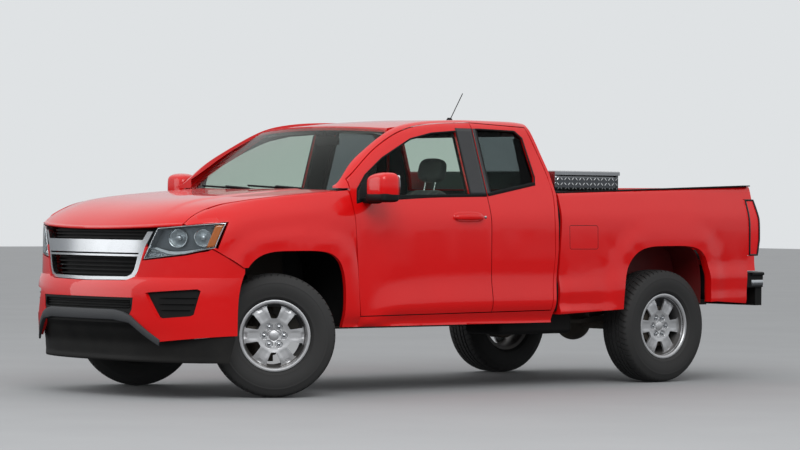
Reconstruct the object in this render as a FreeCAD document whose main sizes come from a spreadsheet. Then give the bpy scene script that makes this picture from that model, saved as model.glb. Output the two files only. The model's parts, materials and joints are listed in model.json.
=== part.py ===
"""Extended-cab pickup truck: the model in millimetres, +X forward, +Y left, +Z up.

The origin lies on the ground, under the middle of the truck.
"""
import FreeCAD, Part
import math
import os
import re
from types import SimpleNamespace

import Sketcher
from FreeCAD import Placement, Rotation, Vector

# Driving sizes in millimetres and degrees, by the sub-assembly that they belong to
SIZES = {
    # Whole truck: stations are distances from the front axle
    "half_length": 2701.5,
    "front_axle": 1756.5,
    "wheelbase": 3258,
    "track": 1585,
    "body_half_width": 929,
    "panel_gap": 6,
    "overrun": 40,
    # Wheels
    "tyre_radius": 383,
    "tyre_width": 258,
    "tread_width": 206,
    "rim_radius": 221,
    "rim_seat_radius": 205,
    "rim_width": 196,
    "hub_radius": 54,
    "hub_bore": 39,
    "wheel_offset": 33,
    "disc_thickness": 26,
    "spoke_count": 6,
    "window_inner": 96,
    "window_outer": 184,
    "tailgate_half_width": 754,
    "lug_circle": 60,
    "lug_hole": 11,
    "steer_rest": 31,
    "kingpin_half_track": 700,
    # Plan of the nose and tail
    "nose_start": 300,
    "nose_reach": 645,
    "nose_half_width": 940,
    "grille_setback": 42,
    "hood_setback": 80,
    "hood_lip_bow": 30,
    "hood_nose_rise": 147,
    "hood_nose_run": 158,
    "hood_crown": 19,
    "tail_taper_start": 3300,
    "tail_taper": 20,
    # Section of the body side
    "sill_z": 428,
    "door_bottom_z": 497,
    "crease_z": 655,
    "crease_depth": 13,
    "crease_height": 62,
    "shoulder_z": 1120,
    "belt_z": 1262,
    "flare": 13,
    "roof_z": 1768,
    "roof_crown": 26,
    "roof_edge_z": 1752,
    "roof_half_width": 628,
    "cant_radius": 62,
    # Arches
    "arch_half_width": 407,
    "arch_rise": 523,
    "rear_arch_rise": 547,
    "arch_sweep": 94,
    # Hood and front wings
    "hood_lip_z": 1049,
    "hood_half_width": 825,
    "hood_thickness": 22,
    "hood_back": 330,
    "cowl_bow": 70,
    "pillar_foot_z": 1297,
    "wing_round": 200,
    "skin": 26,
    # Doors
    "door_front": 520,
    "door_split": 1640,
    "door_back": 2196,
    "door_thickness": 96,
    "frame_thickness": 44,
    "glass_thickness": 5,
    "handle_z": 1102,
    # Cab
    "cab_back": 2236,
    "floor_z": 548,
    "floor_thickness": 40,
    "firewall_station": 500,
    "wall": 40,
    "corner_wall": 24,
    "rocker_height": 118,
    "tunnel_half_width": 150,
    "tunnel_rise": 100,
    # Bed
    "bed_gap": 24,
    "bed_length": 1880,
    "rail_z": 1280,
    "rail_rise": 64,
    "bed_floor_z": 800,
    "bed_side_thickness": 75,
    "wheelhouse_half_length": 450,
    "wheelhouse_half_gap": 570,
    "tailgate_thickness": 58,
    "cap_thickness": 8,
    # Ladder frame
    "rail_half_gap": 345,
    "rail_width": 72,
    "rail_height": 140,
    "frame_z": 395,
    "frame_tail": 912,
    "frame_kick": 130,
    # Toolbox
    "box_length": 590,
    "box_height": 330,
    "box_lid": 26,
    "box_half_width": 795,
    "box_rise": 100,
}

doc = FreeCAD.newDocument("PickupTruck")
sheet = doc.addObject("Spreadsheet::Sheet", "Sizes")
for row, (name, value) in enumerate(SIZES.items(), start=1):
    sheet.set("A%d" % row, name)
    sheet.set("B%d" % row, str(value))
    sheet.setAlias("B%d" % row, name)
doc.recompute()
S = SimpleNamespace(**{name: float(sheet.get(name)) for name in SIZES})

NODES = []


def in_sheet(formula):
    """Names the sheet in front of every size that a formula uses."""
    return re.sub(r"[a-z]\w*", lambda word: "Sizes." + word.group(), formula)


def node(feature):
    """Marks a feature as a sub-part that gets a file of its own."""
    NODES.append(feature)
    return feature


def station(distance):
    """Place along the truck, from a distance behind the front axle."""
    return S.front_axle - distance


def block(label, x, y, z):
    """Box between pairs of formulas for its low and high faces."""
    box = doc.addObject("Part::Box", label)
    for side, axis, (low, high) in zip(("Length", "Width", "Height"), "xyz", (x, y, z)):
        box.setExpression(side, in_sheet("(%s) - (%s)" % (high, low)))
        box.setExpression("Placement.Base." + axis, in_sheet(low))
    return box


def rod(label, start, end, radius, bore=0):
    """Round bar or tube between two points, with its radius as a formula."""
    start, end = Vector(*start), Vector(*end)
    bar = doc.addObject("Part::Cylinder", label)
    bar.setExpression("Radius", in_sheet(radius))
    bar.Height = (end - start).Length
    bar.Placement = Placement(start, Rotation(Vector(0, 0, 1), end - start))
    return bar


def fuse(label, *parts):
    """Union of features."""
    joined = doc.addObject("Part::MultiFuse", label)
    joined.Shapes = list(parts)
    return joined


def gather(label, *parts):
    """Several solids that share one node without touching."""
    group = doc.addObject("Part::Compound", label)
    group.Links = list(parts)
    return group


def carve(label, base, *tools):
    """Base with the tools cut out of it."""
    left = doc.addObject("Part::Cut", label)
    left.Base = base
    left.Tool = tools[0] if len(tools) == 1 else fuse(label + "_tools", *tools)
    return left


def mirrored(label, source):
    """Copy of a feature on the truck's other side."""
    copy = doc.addObject("Part::Mirroring", label)
    copy.Source = source
    copy.Normal = Vector(0, 1, 0)
    return copy


def formed(label, shape, placement=None):
    """Feature for a form that only surfaces give."""
    feature = doc.addObject("Part::Feature", label)
    feature.Shape = shape
    if placement is not None:
        feature.Placement = placement
    return feature


def plane_of(body, role):
    """Origin plane or axis of a body."""
    return [item for item in body.Origin.OriginFeatures if item.Role == role][0]


def sketch_on(body, name, role, corners):
    """Closed outline of straight edges whose corners are pairs of formulas."""
    sketch = body.newObject("Sketcher::SketchObject", name)
    sketch.AttachmentSupport = [(plane_of(body, role), "")]
    sketch.MapMode = "FlatFace"
    count = len(corners)
    for index in range(count):
        ends = []
        for corner in (index, (index + 1) % count):
            turn = 2 * math.pi * corner / count
            ends.append(Vector(S.overrun * math.cos(turn), S.overrun * math.sin(turn), 0))
        sketch.addGeometry(Part.LineSegment(*ends), False)
    for index in range(count):
        sketch.addConstraint(Sketcher.Constraint("Coincident", index, 2, (index + 1) % count, 1))
    for index, corner in enumerate(corners):
        for kind, formula in zip(("DistanceX", "DistanceY"), corner):
            number = sketch.addConstraint(Sketcher.Constraint(kind, -1, 1, index, 1, S.overrun))
            sketch.setExpression("Constraints[%d]" % number, in_sheet(formula))
    return sketch


def padded(label, role, corners, low, high):
    """Body of one outline, padded between two places along the plane's normal."""
    body = doc.addObject("PartDesign::Body", label)
    sketch = sketch_on(body, label + "_outline", role, corners)
    offset = "-(%s)" % high if role == "XZ_Plane" else low
    sketch.setExpression("AttachmentOffset.Base.z", in_sheet(offset))
    pad = body.newObject("PartDesign::Pad", label + "_pad")
    pad.Profile = sketch
    pad.setExpression("Length", in_sheet("(%s) - (%s)" % (high, low)))
    return body


def turned(label, corners):
    """Body revolved about its own Y axis, from an outline of (y, radius) corners."""
    body = doc.addObject("PartDesign::Body", label)
    sketch = sketch_on(body, label + "_outline", "YZ_Plane", corners)
    turn = body.newObject("PartDesign::Revolution", label + "_turn")
    turn.Profile = sketch
    turn.ReferenceAxis = (sketch, ["H_Axis"])
    turn.Angle = 360
    return body


# Forms of the body: each function gives a place on the outer surface

def clip(value, low=0.0, high=1.0):
    """Value kept between two limits."""
    return max(low, min(high, value))


def ease(share):
    """Smooth step from 0 to 1."""
    share = clip(share)
    return share * share * (3 - 2 * share)


def knee(value, width):
    """Zero below the knee and rising by one for one above it."""
    return width * math.log1p(math.exp(clip(value / width, -30, 30)))


def between(value, places):
    """Smooth line through (place, height) pairs in rising order."""
    if value <= places[0][0]:
        return places[0][1]
    for (left, low), (right, high) in zip(places, places[1:]):
        if value <= right:
            share = (value - left) / (right - left)
            return low + (high - low) * share
    return places[-1][1]


NOSE_POWER = 2.4


def nose_half_width(ahead, setback=0.0):
    """Half width of the nose's rounded plan at a distance ahead of the axle."""
    share = clip((ahead - S.nose_start) / (S.nose_reach - setback), 0, 0.9999)
    return S.nose_half_width * (1 - share ** NOSE_POWER) ** (1 / NOSE_POWER)


def nose_ahead(across, setback=0.0):
    """Distance ahead of the axle of the nose's plan at a half width."""
    share = clip(abs(across) / S.nose_half_width, 0, 0.9999)
    return S.nose_start + (S.nose_reach - setback) * (1 - share ** NOSE_POWER) ** (1 / NOSE_POWER)


def arch_rise(rear):
    """Height of an arch's top above the axle."""
    return S.rear_arch_rise if rear else S.arch_rise


ARCH_POWERS = (3.5, 5.0)


def arch_ring(ahead, up, rear):
    """Share of the way out to the arch's edge, which is 1 on the edge."""
    power = ARCH_POWERS[0] if ahead > 0 else ARCH_POWERS[1]
    reach = S.arch_half_width + (S.arch_sweep * clip(-up / S.arch_rise + 0.62, 0, 1) if ahead > 0 else 0)
    if ahead > 0:
        reach = S.arch_half_width * 1.08 + S.arch_sweep * clip(0.62 - up / S.arch_rise, 0, 1)
    rise = max(up, 0.0) / arch_rise(rear)
    return (abs(ahead / reach) ** power + rise ** power) ** (1 / power)


def crease_height(x):
    """Height of the lower crease: level behind, falling away under the front door."""
    back = S.front_axle - x
    line = S.crease_z + 0.0496 * (back - 860)
    return line - 62 * ease((900 - back) / 380)


def flare_out(x, z):
    """How far the arches' lips stand out at a place on the side."""
    out = 0.0
    for rear in (False, True):
        ahead = x - S.front_axle + (S.wheelbase if rear else 0)
        ring = arch_ring(ahead, z - S.tyre_radius, rear)
        out = max(out, S.flare * ease((1.30 - ring) / 0.16))
    return out


def side(x, z):
    """Half width of the body side, below the roof's rounding."""
    ahead = x - S.front_axle
    plan = S.body_half_width
    if ahead > S.nose_start - 150:
        plan = min(plan, nose_half_width(ahead))
    taper = S.tail_taper * ease((-ahead - S.tail_taper_start) / (S.wheelbase - S.front_axle))
    tumble = 0.36 * knee(z - S.shoulder_z, 26)
    kick = S.crease_depth * ease((crease_height(x) - z) / S.crease_height) * ease((-ahead - 430) / 300)
    tuck = 0.36 * knee(S.door_bottom_z + 24 - z, 16)
    return plan - taper - tumble - tuck + kick + flare_out(x, z)


def hood_top(x, y):
    """Height of the hood: a blunt lip, then a long rise to the cowl."""
    back = max(nose_ahead(y, S.hood_setback) - (x - S.front_axle), 0)
    share = clip(abs(y) / S.hood_half_width, 0, 1.2)
    lip = S.hood_lip_z + S.hood_lip_bow * share * share
    rise = S.hood_nose_rise * (1 - math.exp(-back / S.hood_nose_run)) + HOOD_SLOPE * back
    return lip + rise - S.hood_crown * share ** 3 * ease(back / S.hood_nose_run)


def hood_half(x):
    """Half width of the hood at a place along the truck: it widens towards the cowl."""
    return between(x - S.front_axle, HOOD_SEAM) * S.hood_half_width


HOOD_SLOPE = 0.073
HOOD_SEAM = ((-330, 1.03), (-90, 1.025), (200, 1.0), (340, 0.968), (450, 0.925), (560, 0.9), (760, 0.893))


CANT_LINE = ((-2260, 1730), (-2150, 1745), (-2000, 1753), (-1600, 1755), (-1360, 1746), (-1130, 1722),
             (-980, 1682), (-850, 1617), (-700, 1532), (-520, 1408), (-400, 1312))


def cant_height(x):
    """Height of the cab side's upper edge: the windscreen pillar, then the roof rail."""
    return between(x - S.front_axle, CANT_LINE) + S.roof_edge_z - 1752


def grid_face(grid):
    """Smooth surface through a grid of points."""
    surface = Part.BSplineSurface()
    surface.interpolate(grid)
    return surface


def sheet_solid(outer, inner):
    """Solid between two grids of points, a wall apart."""
    top, bottom = grid_face(outer), grid_face(inner)
    faces = [top.toShape(), bottom.toShape()]
    for curve in ("uIso", "vIso"):
        for end in (0, 1):
            edges = []
            for surface in (top, bottom):
                limits = surface.bounds()[:2] if curve == "uIso" else surface.bounds()[2:]
                edges.append(getattr(surface, curve)(limits[end]).toShape())
            faces.append(Part.makeRuledSurface(edges[0], edges[1]))
    shell = Part.makeShell(faces)
    shell.sewShape()
    solid = Part.makeSolid(shell)
    if solid.Volume < 0:
        solid.reverse()
    return solid


def spaced(low, high, count):
    """Evenly spaced places from low to high."""
    return [low + (high - low) * index / (count - 1) for index in range(count)]


def profile(*runs):
    """Face in the XZ plane from runs of (x, z): two points are a line, more a smooth curve."""
    edges = []
    for run in runs:
        points = [Vector(x, 0, z) for x, z in run]
        if len(points) == 2:
            edges.append(Part.makeLine(points[0], points[1]))
        else:
            curve = Part.BSplineCurve()
            curve.interpolate(points)
            edges.append(curve.toShape())
    return Part.Face(Part.Wire(edges))


def polygon(*points):
    """Face in the XZ plane with straight sides."""
    runs = [(points[index], points[(index + 1) % len(points)]) for index in range(len(points))]
    return profile(*runs)


def along_y(face, low, high):
    """Face in the XZ plane pushed out between two places across the truck."""
    moved = face.copy()
    moved.translate(Vector(0, low, 0))
    return moved.extrude(Vector(0, high - low, 0))


def arch_profile(rear, grow=0.0, drop=None):
    """Outline of a wheel arch's opening, grown by a margin."""
    axle = S.front_axle - (S.wheelbase if rear else 0)
    rise = arch_rise(rear) + grow
    front = S.arch_half_width * 1.08 + grow
    back = S.arch_half_width + grow
    points = []
    for angle in spaced(0, 180, 17):
        cosine, sine = math.cos(math.radians(angle)), math.sin(math.radians(angle))
        power = ARCH_POWERS[0] if cosine > 0 else ARCH_POWERS[1]
        reach = front if cosine > 0 else back
        across = math.copysign(abs(cosine) ** (2 / power), cosine) * reach
        points.append((axle + across, S.tyre_radius + sine ** (2 / power) * rise))
    low = S.tyre_radius - S.arch_sweep if drop is None else drop
    foot = (points[0][0] + (S.arch_sweep * 0.75 if not rear else S.arch_sweep * 0.5), low)
    heel = (points[-1][0], low)
    return profile([foot, points[0]], points, [points[-1], heel], [heel, foot])


def section(x, bottom, top, rise, inset, wall):
    """Outer and inner points up one station of the side, rounded inwards at the top."""
    outer, inner = [], []
    for z in spaced(bottom, top - rise, 14):
        outer.append(Vector(x, side(x, z), z))
        inner.append(Vector(x, side(x, z) - wall(z), z))
    for angle in (22, 44, 64, 82):
        cosine, sine = math.cos(math.radians(angle)), math.sin(math.radians(angle))
        z = top - rise + rise * sine
        place = Vector(x, side(x, z) - inset * (1 - cosine), z)
        outer.append(place)
        if wall(z) > inset:
            inner.append(place - Vector(0, wall(z), 0))
        else:
            inner.append(place - Vector(0, wall(z) * cosine, wall(z) * sine))
    if wall(top) > S.rail_half_gap:
        inner = [Vector(x, S.rail_half_gap, point.z) for point in outer]
    return outer, inner


def side_wall(low, high, bottom, top, rise, inset, wall, columns=13):
    """Solid of the left side between two places along the truck."""
    outer, inner = [], []
    for x in spaced(low, high, columns):
        points = section(x, bottom, top(x), rise, inset(x), wall)
        outer.append(points[0])
        inner.append(points[1])
    return sheet_solid(outer, inner)


def cab_side(wall, low, high):
    """Cab side with a wall's thickness, from the sill to the roof's edge."""
    bottom = S.sill_z
    return side_wall(low, high, bottom, cant_height, S.cant_radius, lambda x: S.cant_radius, wall)


def inside(face, margin):
    """Outline drawn in by a margin, or grown by a negative one, as lines and plain curves."""
    edges = []
    for edge in face.makeOffset2D(-margin).OuterWire.OrderedEdges:
        if edge.Curve.TypeId == "Part::GeomLine":
            edges.append(edge)
        else:
            curve = Part.BSplineCurve()
            curve.interpolate(edge.discretize(17))
            edges.append(curve.toShape())
    return Part.Face(Part.Wire(edges))


def other_side(shape):
    """Shape of the truck's right side from that of its left."""
    return shape.mirror(Vector(0, 0, 0), Vector(0, 1, 0))


def both_sides(shape):
    """Left and right shapes as one compound."""
    return Part.makeCompound([shape, other_side(shape)])


# Outlines of the doors and windows, in distances behind the axle and heights

def door_front_x(z):
    """Front edge of the front door at a height."""
    return station(between(z, ((497, 543), (645, 524), (952, 504), (1172, 490), (1330, 494))))


def cab_back_x(z):
    """Back of the cab at a height."""
    line = ((428, 2190), (672, 2214), (904, 2237), (1127, 2237), (1275, 2260), (1414, 2242), (1600, 2188), (1716, 2150))
    return station(between(z, line) + S.cab_back - 2236)


def door_outline():
    """Front door: sloped front edge, then the pillar's curve back to the split."""
    gap = S.panel_gap
    split = station(S.door_split) + gap / 2
    pillar = [(station(back), height) for back, height in
              ((494, 1352), (560, 1400), (699, 1499), (850, 1588), (977, 1647), (1134, 1694), (1358, 1722))]
    pillar.append((split, 1733))
    front = [(door_front_x(z), z) for z in (S.door_bottom_z, 645, 952, 1172, 1352)]
    front[-1] = pillar[0]
    foot = (split, S.door_bottom_z + 10)
    return profile(front, pillar, (pillar[-1], foot), (foot, front[0]))


def rear_door_outline():
    """Rear access door, from the split to the cab's rear corner."""
    split = station(S.door_split) - S.panel_gap / 2
    back = [(cab_back_x(z) + 32, z) for z in (1712, 1600, 1414, 1275, 1127, 904, 672, 512)]
    head = (split, 1733)
    foot = (split, S.door_bottom_z + 10)
    return profile((foot, head), (head, back[0]), back, (back[-1], foot))


def window_outline():
    """Front door's glass opening."""
    sill = [(station(1495), 1262), (station(528), 1207)]
    top = [(station(back), height) for back, height in
           ((528, 1207), (553, 1290), (643, 1381), (814, 1490), (1088, 1616), (1279, 1657), (1495, 1674))]
    return profile(sill, top, (top[-1], sill[0]))


def rear_window_outline():
    """Rear door's glass opening."""
    points = [(1676, 1278), (1676, 1692), (2012, 1684), (2066, 1640), (2096, 1385), (2086, 1350)]
    return polygon(*[(station(back), height) for back, height in points])


def door_wall(z):
    """Thickness of a door: full below the belt, a frame's above it."""
    share = ease((z - S.belt_z + 50) / 50)
    return S.door_thickness + (S.frame_thickness - S.door_thickness) * share


def split_wedge(edge, lean):
    """Tool that leans a door's edge at the split, so that the door swings past its neighbour."""
    x = station(edge)
    places = section(x, S.sill_z, cant_height(x), S.cant_radius, S.cant_radius, door_wall)[0]
    land, margin = 2, 10
    reach = S.door_thickness + 3 * margin
    cut, far = [], []
    for place in places:
        depths = spaced(-margin, reach, 3)
        cut.append([place + Vector(lean * (land - depth), -depth, 0) for depth in depths])
        far.append([place + Vector(math.copysign(S.door_thickness, lean), -depth, 0) for depth in depths])
    return sheet_solid(cut, far)


def door(outline, window, low, high):
    """Left door: a skin to its outline, and a thick inner part set back from the edges."""
    skin = cab_side(lambda z: S.skin, low, high).common(along_y(outline, 0, S.half_length))
    thick = cab_side(door_wall, low, high)
    core = thick.common(along_y(inside(outline, 25), 0, S.half_length))
    return skin.fuse(core).cut(along_y(window, 0, S.half_length)).removeSplitter()


def pane(window, low, high):
    """Left door's glass, just inside its opening."""
    recess = 12
    outer = cab_side(lambda z: recess + S.glass_thickness, low, high)
    shallow = cab_side(lambda z: recess, low, high)
    hollow = outer.cut(shallow)
    return hollow.common(along_y(inside(window, 0.8), 0, S.half_length))


# Cab
FRONT_RANGE = (station(S.door_split + 60), station(440))
REAR_RANGE = (station(S.cab_back + 40), station(S.door_split - 60))
SIDE_RANGE = (station(S.cab_back + 40), station(400))

front_door, rear_door = door_outline(), rear_door_outline()
front_window, rear_window = window_outline(), rear_window_outline()

FRONT_LEAN, REAR_LEAN = -0.3, 0.55

doors = {
    "front_left": door(front_door, front_window, *FRONT_RANGE).cut(split_wedge(S.door_split - S.panel_gap / 2, FRONT_LEAN)),
    "rear_left": door(rear_door, rear_window, *REAR_RANGE).cut(split_wedge(S.door_split + S.panel_gap / 2, REAR_LEAN)),
}
panes = {
    "front_left": pane(front_window, *FRONT_RANGE),
    "rear_left": pane(rear_window, *REAR_RANGE),
}
for place in ("front", "rear"):
    for hand in ("left", "right"):
        shape, glass = doors[place + "_left"], panes[place + "_left"]
        if hand == "right":
            shape, glass = other_side(shape), other_side(glass)
        node(formed("door_%s_%s" % (place, hand), shape))
        node(formed("door_glass_%s_%s" % (place, hand), glass))


def cab_frame_shape():
    """Side rings with hinge pillars, and the back wall with its window, as one piece."""
    low, high = 0, S.half_length
    front = station(S.firewall_station - 12)
    back_edge = [(cab_back_x(z), z) for z in (1760, 1716, 1600, 1414, 1275, 1127, 904, 672, 428)]
    top = S.roof_edge_z + S.overrun
    edge = polygon(*back_edge, (front, S.sill_z), (front, S.pillar_foot_z), (station(400), S.pillar_foot_z),
                   (station(400), top), (back_edge[0][0], top))
    outer = along_y(edge, low, high)
    ring = cab_side(lambda z: 60, *SIDE_RANGE).common(outer)
    seam = [(door_front_x(z) + S.panel_gap - 0.5, z) for z in (S.sill_z - 10, 645, 952, 1172, 1236)]
    pocket = along_y(polygon(*seam, (front + 5, 1236), (front + 5, S.sill_z - 10)), 770, high)
    ring = ring.cut(pocket)
    for outline in (front_door, rear_door):
        ring = ring.cut(along_y(inside(outline, -S.panel_gap), low, high))
    inner_edge = [(x + S.wall, z) for x, z in back_edge]
    slab = polygon(*back_edge, *inner_edge[::-1])
    corner = polygon(*back_edge, *[(x + S.corner_wall, z) for x, z in back_edge[::-1]])
    wing = cab_side(lambda z: S.hood_half_width, *SIDE_RANGE).common(along_y(corner, low, high))
    side_frame = ring.fuse(wing)
    pillar = Part.makeBox(24, 69, 1262 - S.sill_z, Vector(front - 24, 700, S.sill_z))
    bracket = Part.makeBox(26, 136, 26, Vector(front - 24, 700, 1236))
    foot = Part.makeBox(60, 172.5, 60, Vector(front - 84, 700, S.sill_z))
    side_frame = side_frame.fuse([pillar, bracket, foot])
    core = along_y(slab, -470, 470)
    frame = side_frame.fuse([other_side(side_frame), core])
    slot_xs = [lambda y, x=x: x for x in spaced(station(1900), station(S.cab_back + 40), 12)]
    slot_ys = spaced(-S.roof_half_width - 0.5, S.roof_half_width + 0.5, 17)
    roof_slot = height_field(lambda x, y: roof_top(x, y) + 60, slot_xs, slot_ys, S.skin + 61)
    under = Part.makeBox(400, 2 * 866, 190, Vector(station(S.cab_back) - 80, -866, S.floor_z + S.floor_thickness - 189.7))
    window = Part.makeBox(200, 1160, 350, Vector(station(S.cab_back) - 60, -580, S.belt_z + 45))
    return frame.cut([window, roof_slot, under])


def roof_top(x, y):
    """Height of the roof: highest behind the middle, crowned across."""
    back = S.front_axle - x
    along = between(back, ((940, 1706), (1060, 1722), (1250, 1741), (1500, 1757), (1800, 1766), (2100, 1768), (2170, 1760)))
    return along + S.roof_z - 1768 - S.roof_crown * (y / S.roof_half_width) ** 2


def height_field(top, xs, ys, thickness):
    """Solid under a height function of x and y, over places that may follow y."""
    upper = [[Vector(x(y), y, top(x(y), y)) for x in xs] for y in ys]
    lower = [[point - Vector(0, 0, thickness) for point in row] for row in upper]
    return sheet_solid(upper, lower)


def roof_shape():
    """Roof skin between the roof rails."""
    def header(y):
        return station(942 + 50 * (y / S.roof_half_width) ** 2)

    def tail(y):
        return station(2150)

    shares = spaced(0, 1, 16)
    xs = [lambda y, share=share: header(y) + (tail(y) - header(y)) * share for share in shares]
    ys = spaced(-S.roof_half_width, S.roof_half_width, 17)
    return height_field(roof_top, xs, ys, S.skin)


node(formed("cab_frame", cab_frame_shape()))
node(formed("roof_panel", roof_shape()))


def windscreen_shape():
    """Windscreen: bowed across, leaning back between the pillars."""
    rows = []
    for share in spaced(0, 1, 9):
        row = []
        for across in spaced(-1, 1, 17):
            half = 780 + (640 - 780) * share
            back = 385 + 55 * across ** 2 + (545 - 15 * across ** 2) * share
            bulge = 22 * math.sin(math.pi * share)
            row.append(Vector(station(back) + bulge * 0.6, half * across, 1268 + 430 * share + bulge * 0.8 - 24 * across ** 2 * share))
        rows.append(row)
    inner = [[point - Vector(3, 0, 4) for point in row] for row in rows]
    return sheet_solid(rows, inner)


def back_window_shape():
    """Back window's pane in the middle of the wall's opening."""
    outline = [(cab_back_x(z) + 12, z) for z in (1656, 1600, 1414, 1308)]
    inner = [(x + S.glass_thickness, z) for x, z in outline]
    slab = profile(outline, (outline[-1], inner[-1]), inner[::-1], (inner[0], outline[0]))
    return along_y(slab, -579.7, 579.7)


node(formed("cab_glass", Part.makeCompound([windscreen_shape(), back_window_shape()])))


# Nose: rounded in plan, its pieces are bands of one surface

NOSE_UPPER = ((700, 40), (1060, 46))
NOSE_LOWER = ((225, 40), (330, 14), (480, 0), (640, 0), (690, 5), (742, 30))
NOSE_CHIN = ((222, 84), (340, 72), (400, 44), (480, 8))


def nose_point(across, z, inward=0.0, line=NOSE_UPPER):
    """Place on the nose at a half width and height, moved inwards along its normal in plan."""
    setback = between(z, line)
    step = 1.0
    sign = -1 if across < 0 else 1
    width = min(abs(across), S.nose_half_width - 2 * step)
    ahead = nose_ahead(width, setback)
    slope = (nose_ahead(width + step, setback) - nose_ahead(max(width - step, 0), setback)) / (2 * step)
    length = math.hypot(1, slope)
    x = S.front_axle + ahead - inward / length
    y = sign * (width + inward * slope / length)
    return Vector(x, y, z)


def widths(low, high, count):
    """Half widths whose places lie evenly round the nose's plan."""
    def angle(width):
        share = clip(abs(width) / S.nose_half_width, 0, 1)
        return math.copysign(math.asin(share ** (NOSE_POWER / 2)), width)

    places = []
    for turn in spaced(angle(low), angle(high), count):
        places.append(math.copysign(S.nose_half_width * math.sin(abs(turn)) ** (2 / NOSE_POWER), turn))
    return places


def nose_band(low, high, bottom, top, wall, sunk=0.0, count=21, rows=7, line=NOSE_UPPER):
    """Solid of the nose between two half widths, its bottom and top being functions of width."""
    outer, inner = [], []
    for across in widths(low, high, count):
        heights = spaced(bottom(across), top(across), rows)
        outer.append([nose_point(across, z, sunk, line) for z in heights])
        inner.append([nose_point(across, z, sunk + wall, line) for z in heights])
    return sheet_solid(outer, inner)


def level(height):
    """Height that is the same at every width."""
    return lambda across: height


def front_view(*points, grow=0.0):
    """Prism along the truck of an outline seen from ahead, mirrored to both sides."""
    loop = [Vector(S.front_axle, y, z) for y, z in points]
    loop += [Vector(S.front_axle, -y, z) for y, z in reversed(points) if y]
    face = Part.Face(Part.makePolygon(loop + [loop[0]]))
    if grow:
        face = face.makeOffset2D(grow)
    return face.extrude(Vector(S.half_length, 0, 0))


def side_view(points, grow=0.0):
    """Prism along the truck of an outline on the left side of the nose."""
    loop = [Vector(S.front_axle, y, z) for y, z in points]
    face = Part.Face(Part.makePolygon(loop + [loop[0]]))
    if grow:
        face = face.makeOffset2D(grow)
    return face.extrude(Vector(S.half_length, 0, 0))


FOG = ((556, 646), (574, 652), (828, 674), (840, 664), (815, 520), (800, 510), (652, 494), (634, 502))
GRILLE = ((0, 716), (395, 722), (440, 738), (468, 775), (520, 935), (594, 1062), (0, 1062))
VALANCE = ((0, 617), (470, 617), (462, 545), (425, 478), (640, 352), (950, 392), (950, 150), (0, 150))


def lamp_shape(grow=0.0, wall=70.0, proud=0.0):
    """Headlamp of the left side: tall at its outer end, and a tongue towards the grille."""
    outer, inner = [], []
    for along in spaced(0, 1, 13):
        low_y = 506 + (880 - 506) * along ** 0.9
        high_y = 600 + (908 - 600) * along ** 0.85
        low_z = between(along, ((0, 850), (0.35, 868), (0.65, 884), (1, 922)))
        high_z = between(along, ((0, 1042), (1, 1076)))
        outer_row, inner_row = [], []
        for up in spaced(0, 1, 7):
            across = low_y + (high_y - low_y) * up + grow * (2 * along - 1)
            z = low_z - grow + (high_z - low_z + 2 * grow) * up
            outer_row.append(nose_point(across, z, -proud))
            inner_row.append(nose_point(across, z, wall))
        outer.append(outer_row)
        inner.append(inner_row)
    return sheet_solid(outer, inner)


def fascia_shape():
    """Body-coloured bumper cover with the grille, lower opening and fog pockets cut."""
    band = nose_band(-936, 936, level(335), level(742), S.skin, count=31, rows=10, line=NOSE_LOWER)
    band = band.fuse(nose_band(-936, 936, level(733), level(928), S.skin, count=31, rows=5))
    tools = [front_view(*GRILLE)]
    tools.append(front_view(*VALANCE, grow=1))
    for hand in (1, -1):
        lamp = lamp_shape(grow=7, wall=120, proud=40)
        seam = polygon((station(-640), 921), (station(-600), 921), (station(-400), 800), (station(-200), 790),
                       (station(-200), 1300), (station(-640), 1300))
        upper = along_y(seam, 760, 1100)
        arch = along_y(arch_profile(False, drop=150), 500, 1100)
        fog = side_view(FOG)
        rear = Part.makeBox(600, 600, 1200, Vector(station(-330) - 600, 700, 0))
        for tool in (lamp, upper, arch, fog, rear):
            tools.append(tool if hand > 0 else other_side(tool))
    return band.cut(tools)


def valance_shape():
    """Black lower bumper: centre band with its slot, the chin set back under it, and the fog blanks."""
    margin = 1
    opening = front_view(*[(y, z - margin if z == VALANCE[0][1] else z) for y, z in VALANCE])
    band = nose_band(-925, 925, level(462), level(616), S.skin + 10, sunk=3, count=25, rows=6, line=NOSE_LOWER)
    chin = nose_band(-925, 925, level(224), level(470), S.skin + 10, sunk=3, count=25, rows=9, line=NOSE_CHIN)
    body = band.common(opening).fuse(chin.common(opening))
    mesh = nose_band(-470, 470, level(538), level(608), 8, sunk=30, count=15, rows=4, line=NOSE_LOWER)
    slot = front_view((0, 602), (447, 602), (454, 560), (438, 548), (0, 548))
    tools = [slot]
    for hand in (1, -1):
        arch = along_y(arch_profile(False, grow=6, drop=100), 500, 1100)
        rear = Part.makeBox(600, 600, 1200, Vector(station(-330) - 600, 700, 0))
        for tool in (arch, rear):
            tools.append(tool if hand > 0 else other_side(tool))
    blank = nose_band(530, 860, level(480), level(690), 12, sunk=20, count=9, rows=5, line=NOSE_LOWER)
    blank = blank.common(side_view(FOG, grow=-0.4))
    return Part.makeCompound([body.cut(tools).fuse(mesh.common(opening)), blank, other_side(blank)])


def grille_shape():
    """Bright surround with its wide bar and the thin bar below it."""
    margin = 3
    ring = nose_band(-600, 600, level(719), level(1020), 34, sunk=4, count=25, rows=7)
    outer = front_view(*[(y - margin if y else 0, z + (margin if z < 800 else -margin)) for y, z in GRILLE])
    hole_low = front_view((0, 740), (380, 744), (415, 758), (438, 790), (462, 868), (0, 868))
    hole_high = front_view((0, 968), (498, 968), (562, 1070), (0, 1070))
    gap = front_view((0, 880), (466, 880), (470, 890), (0, 890))
    return ring.common(outer).cut([hole_low, hole_high, gap])


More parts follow.
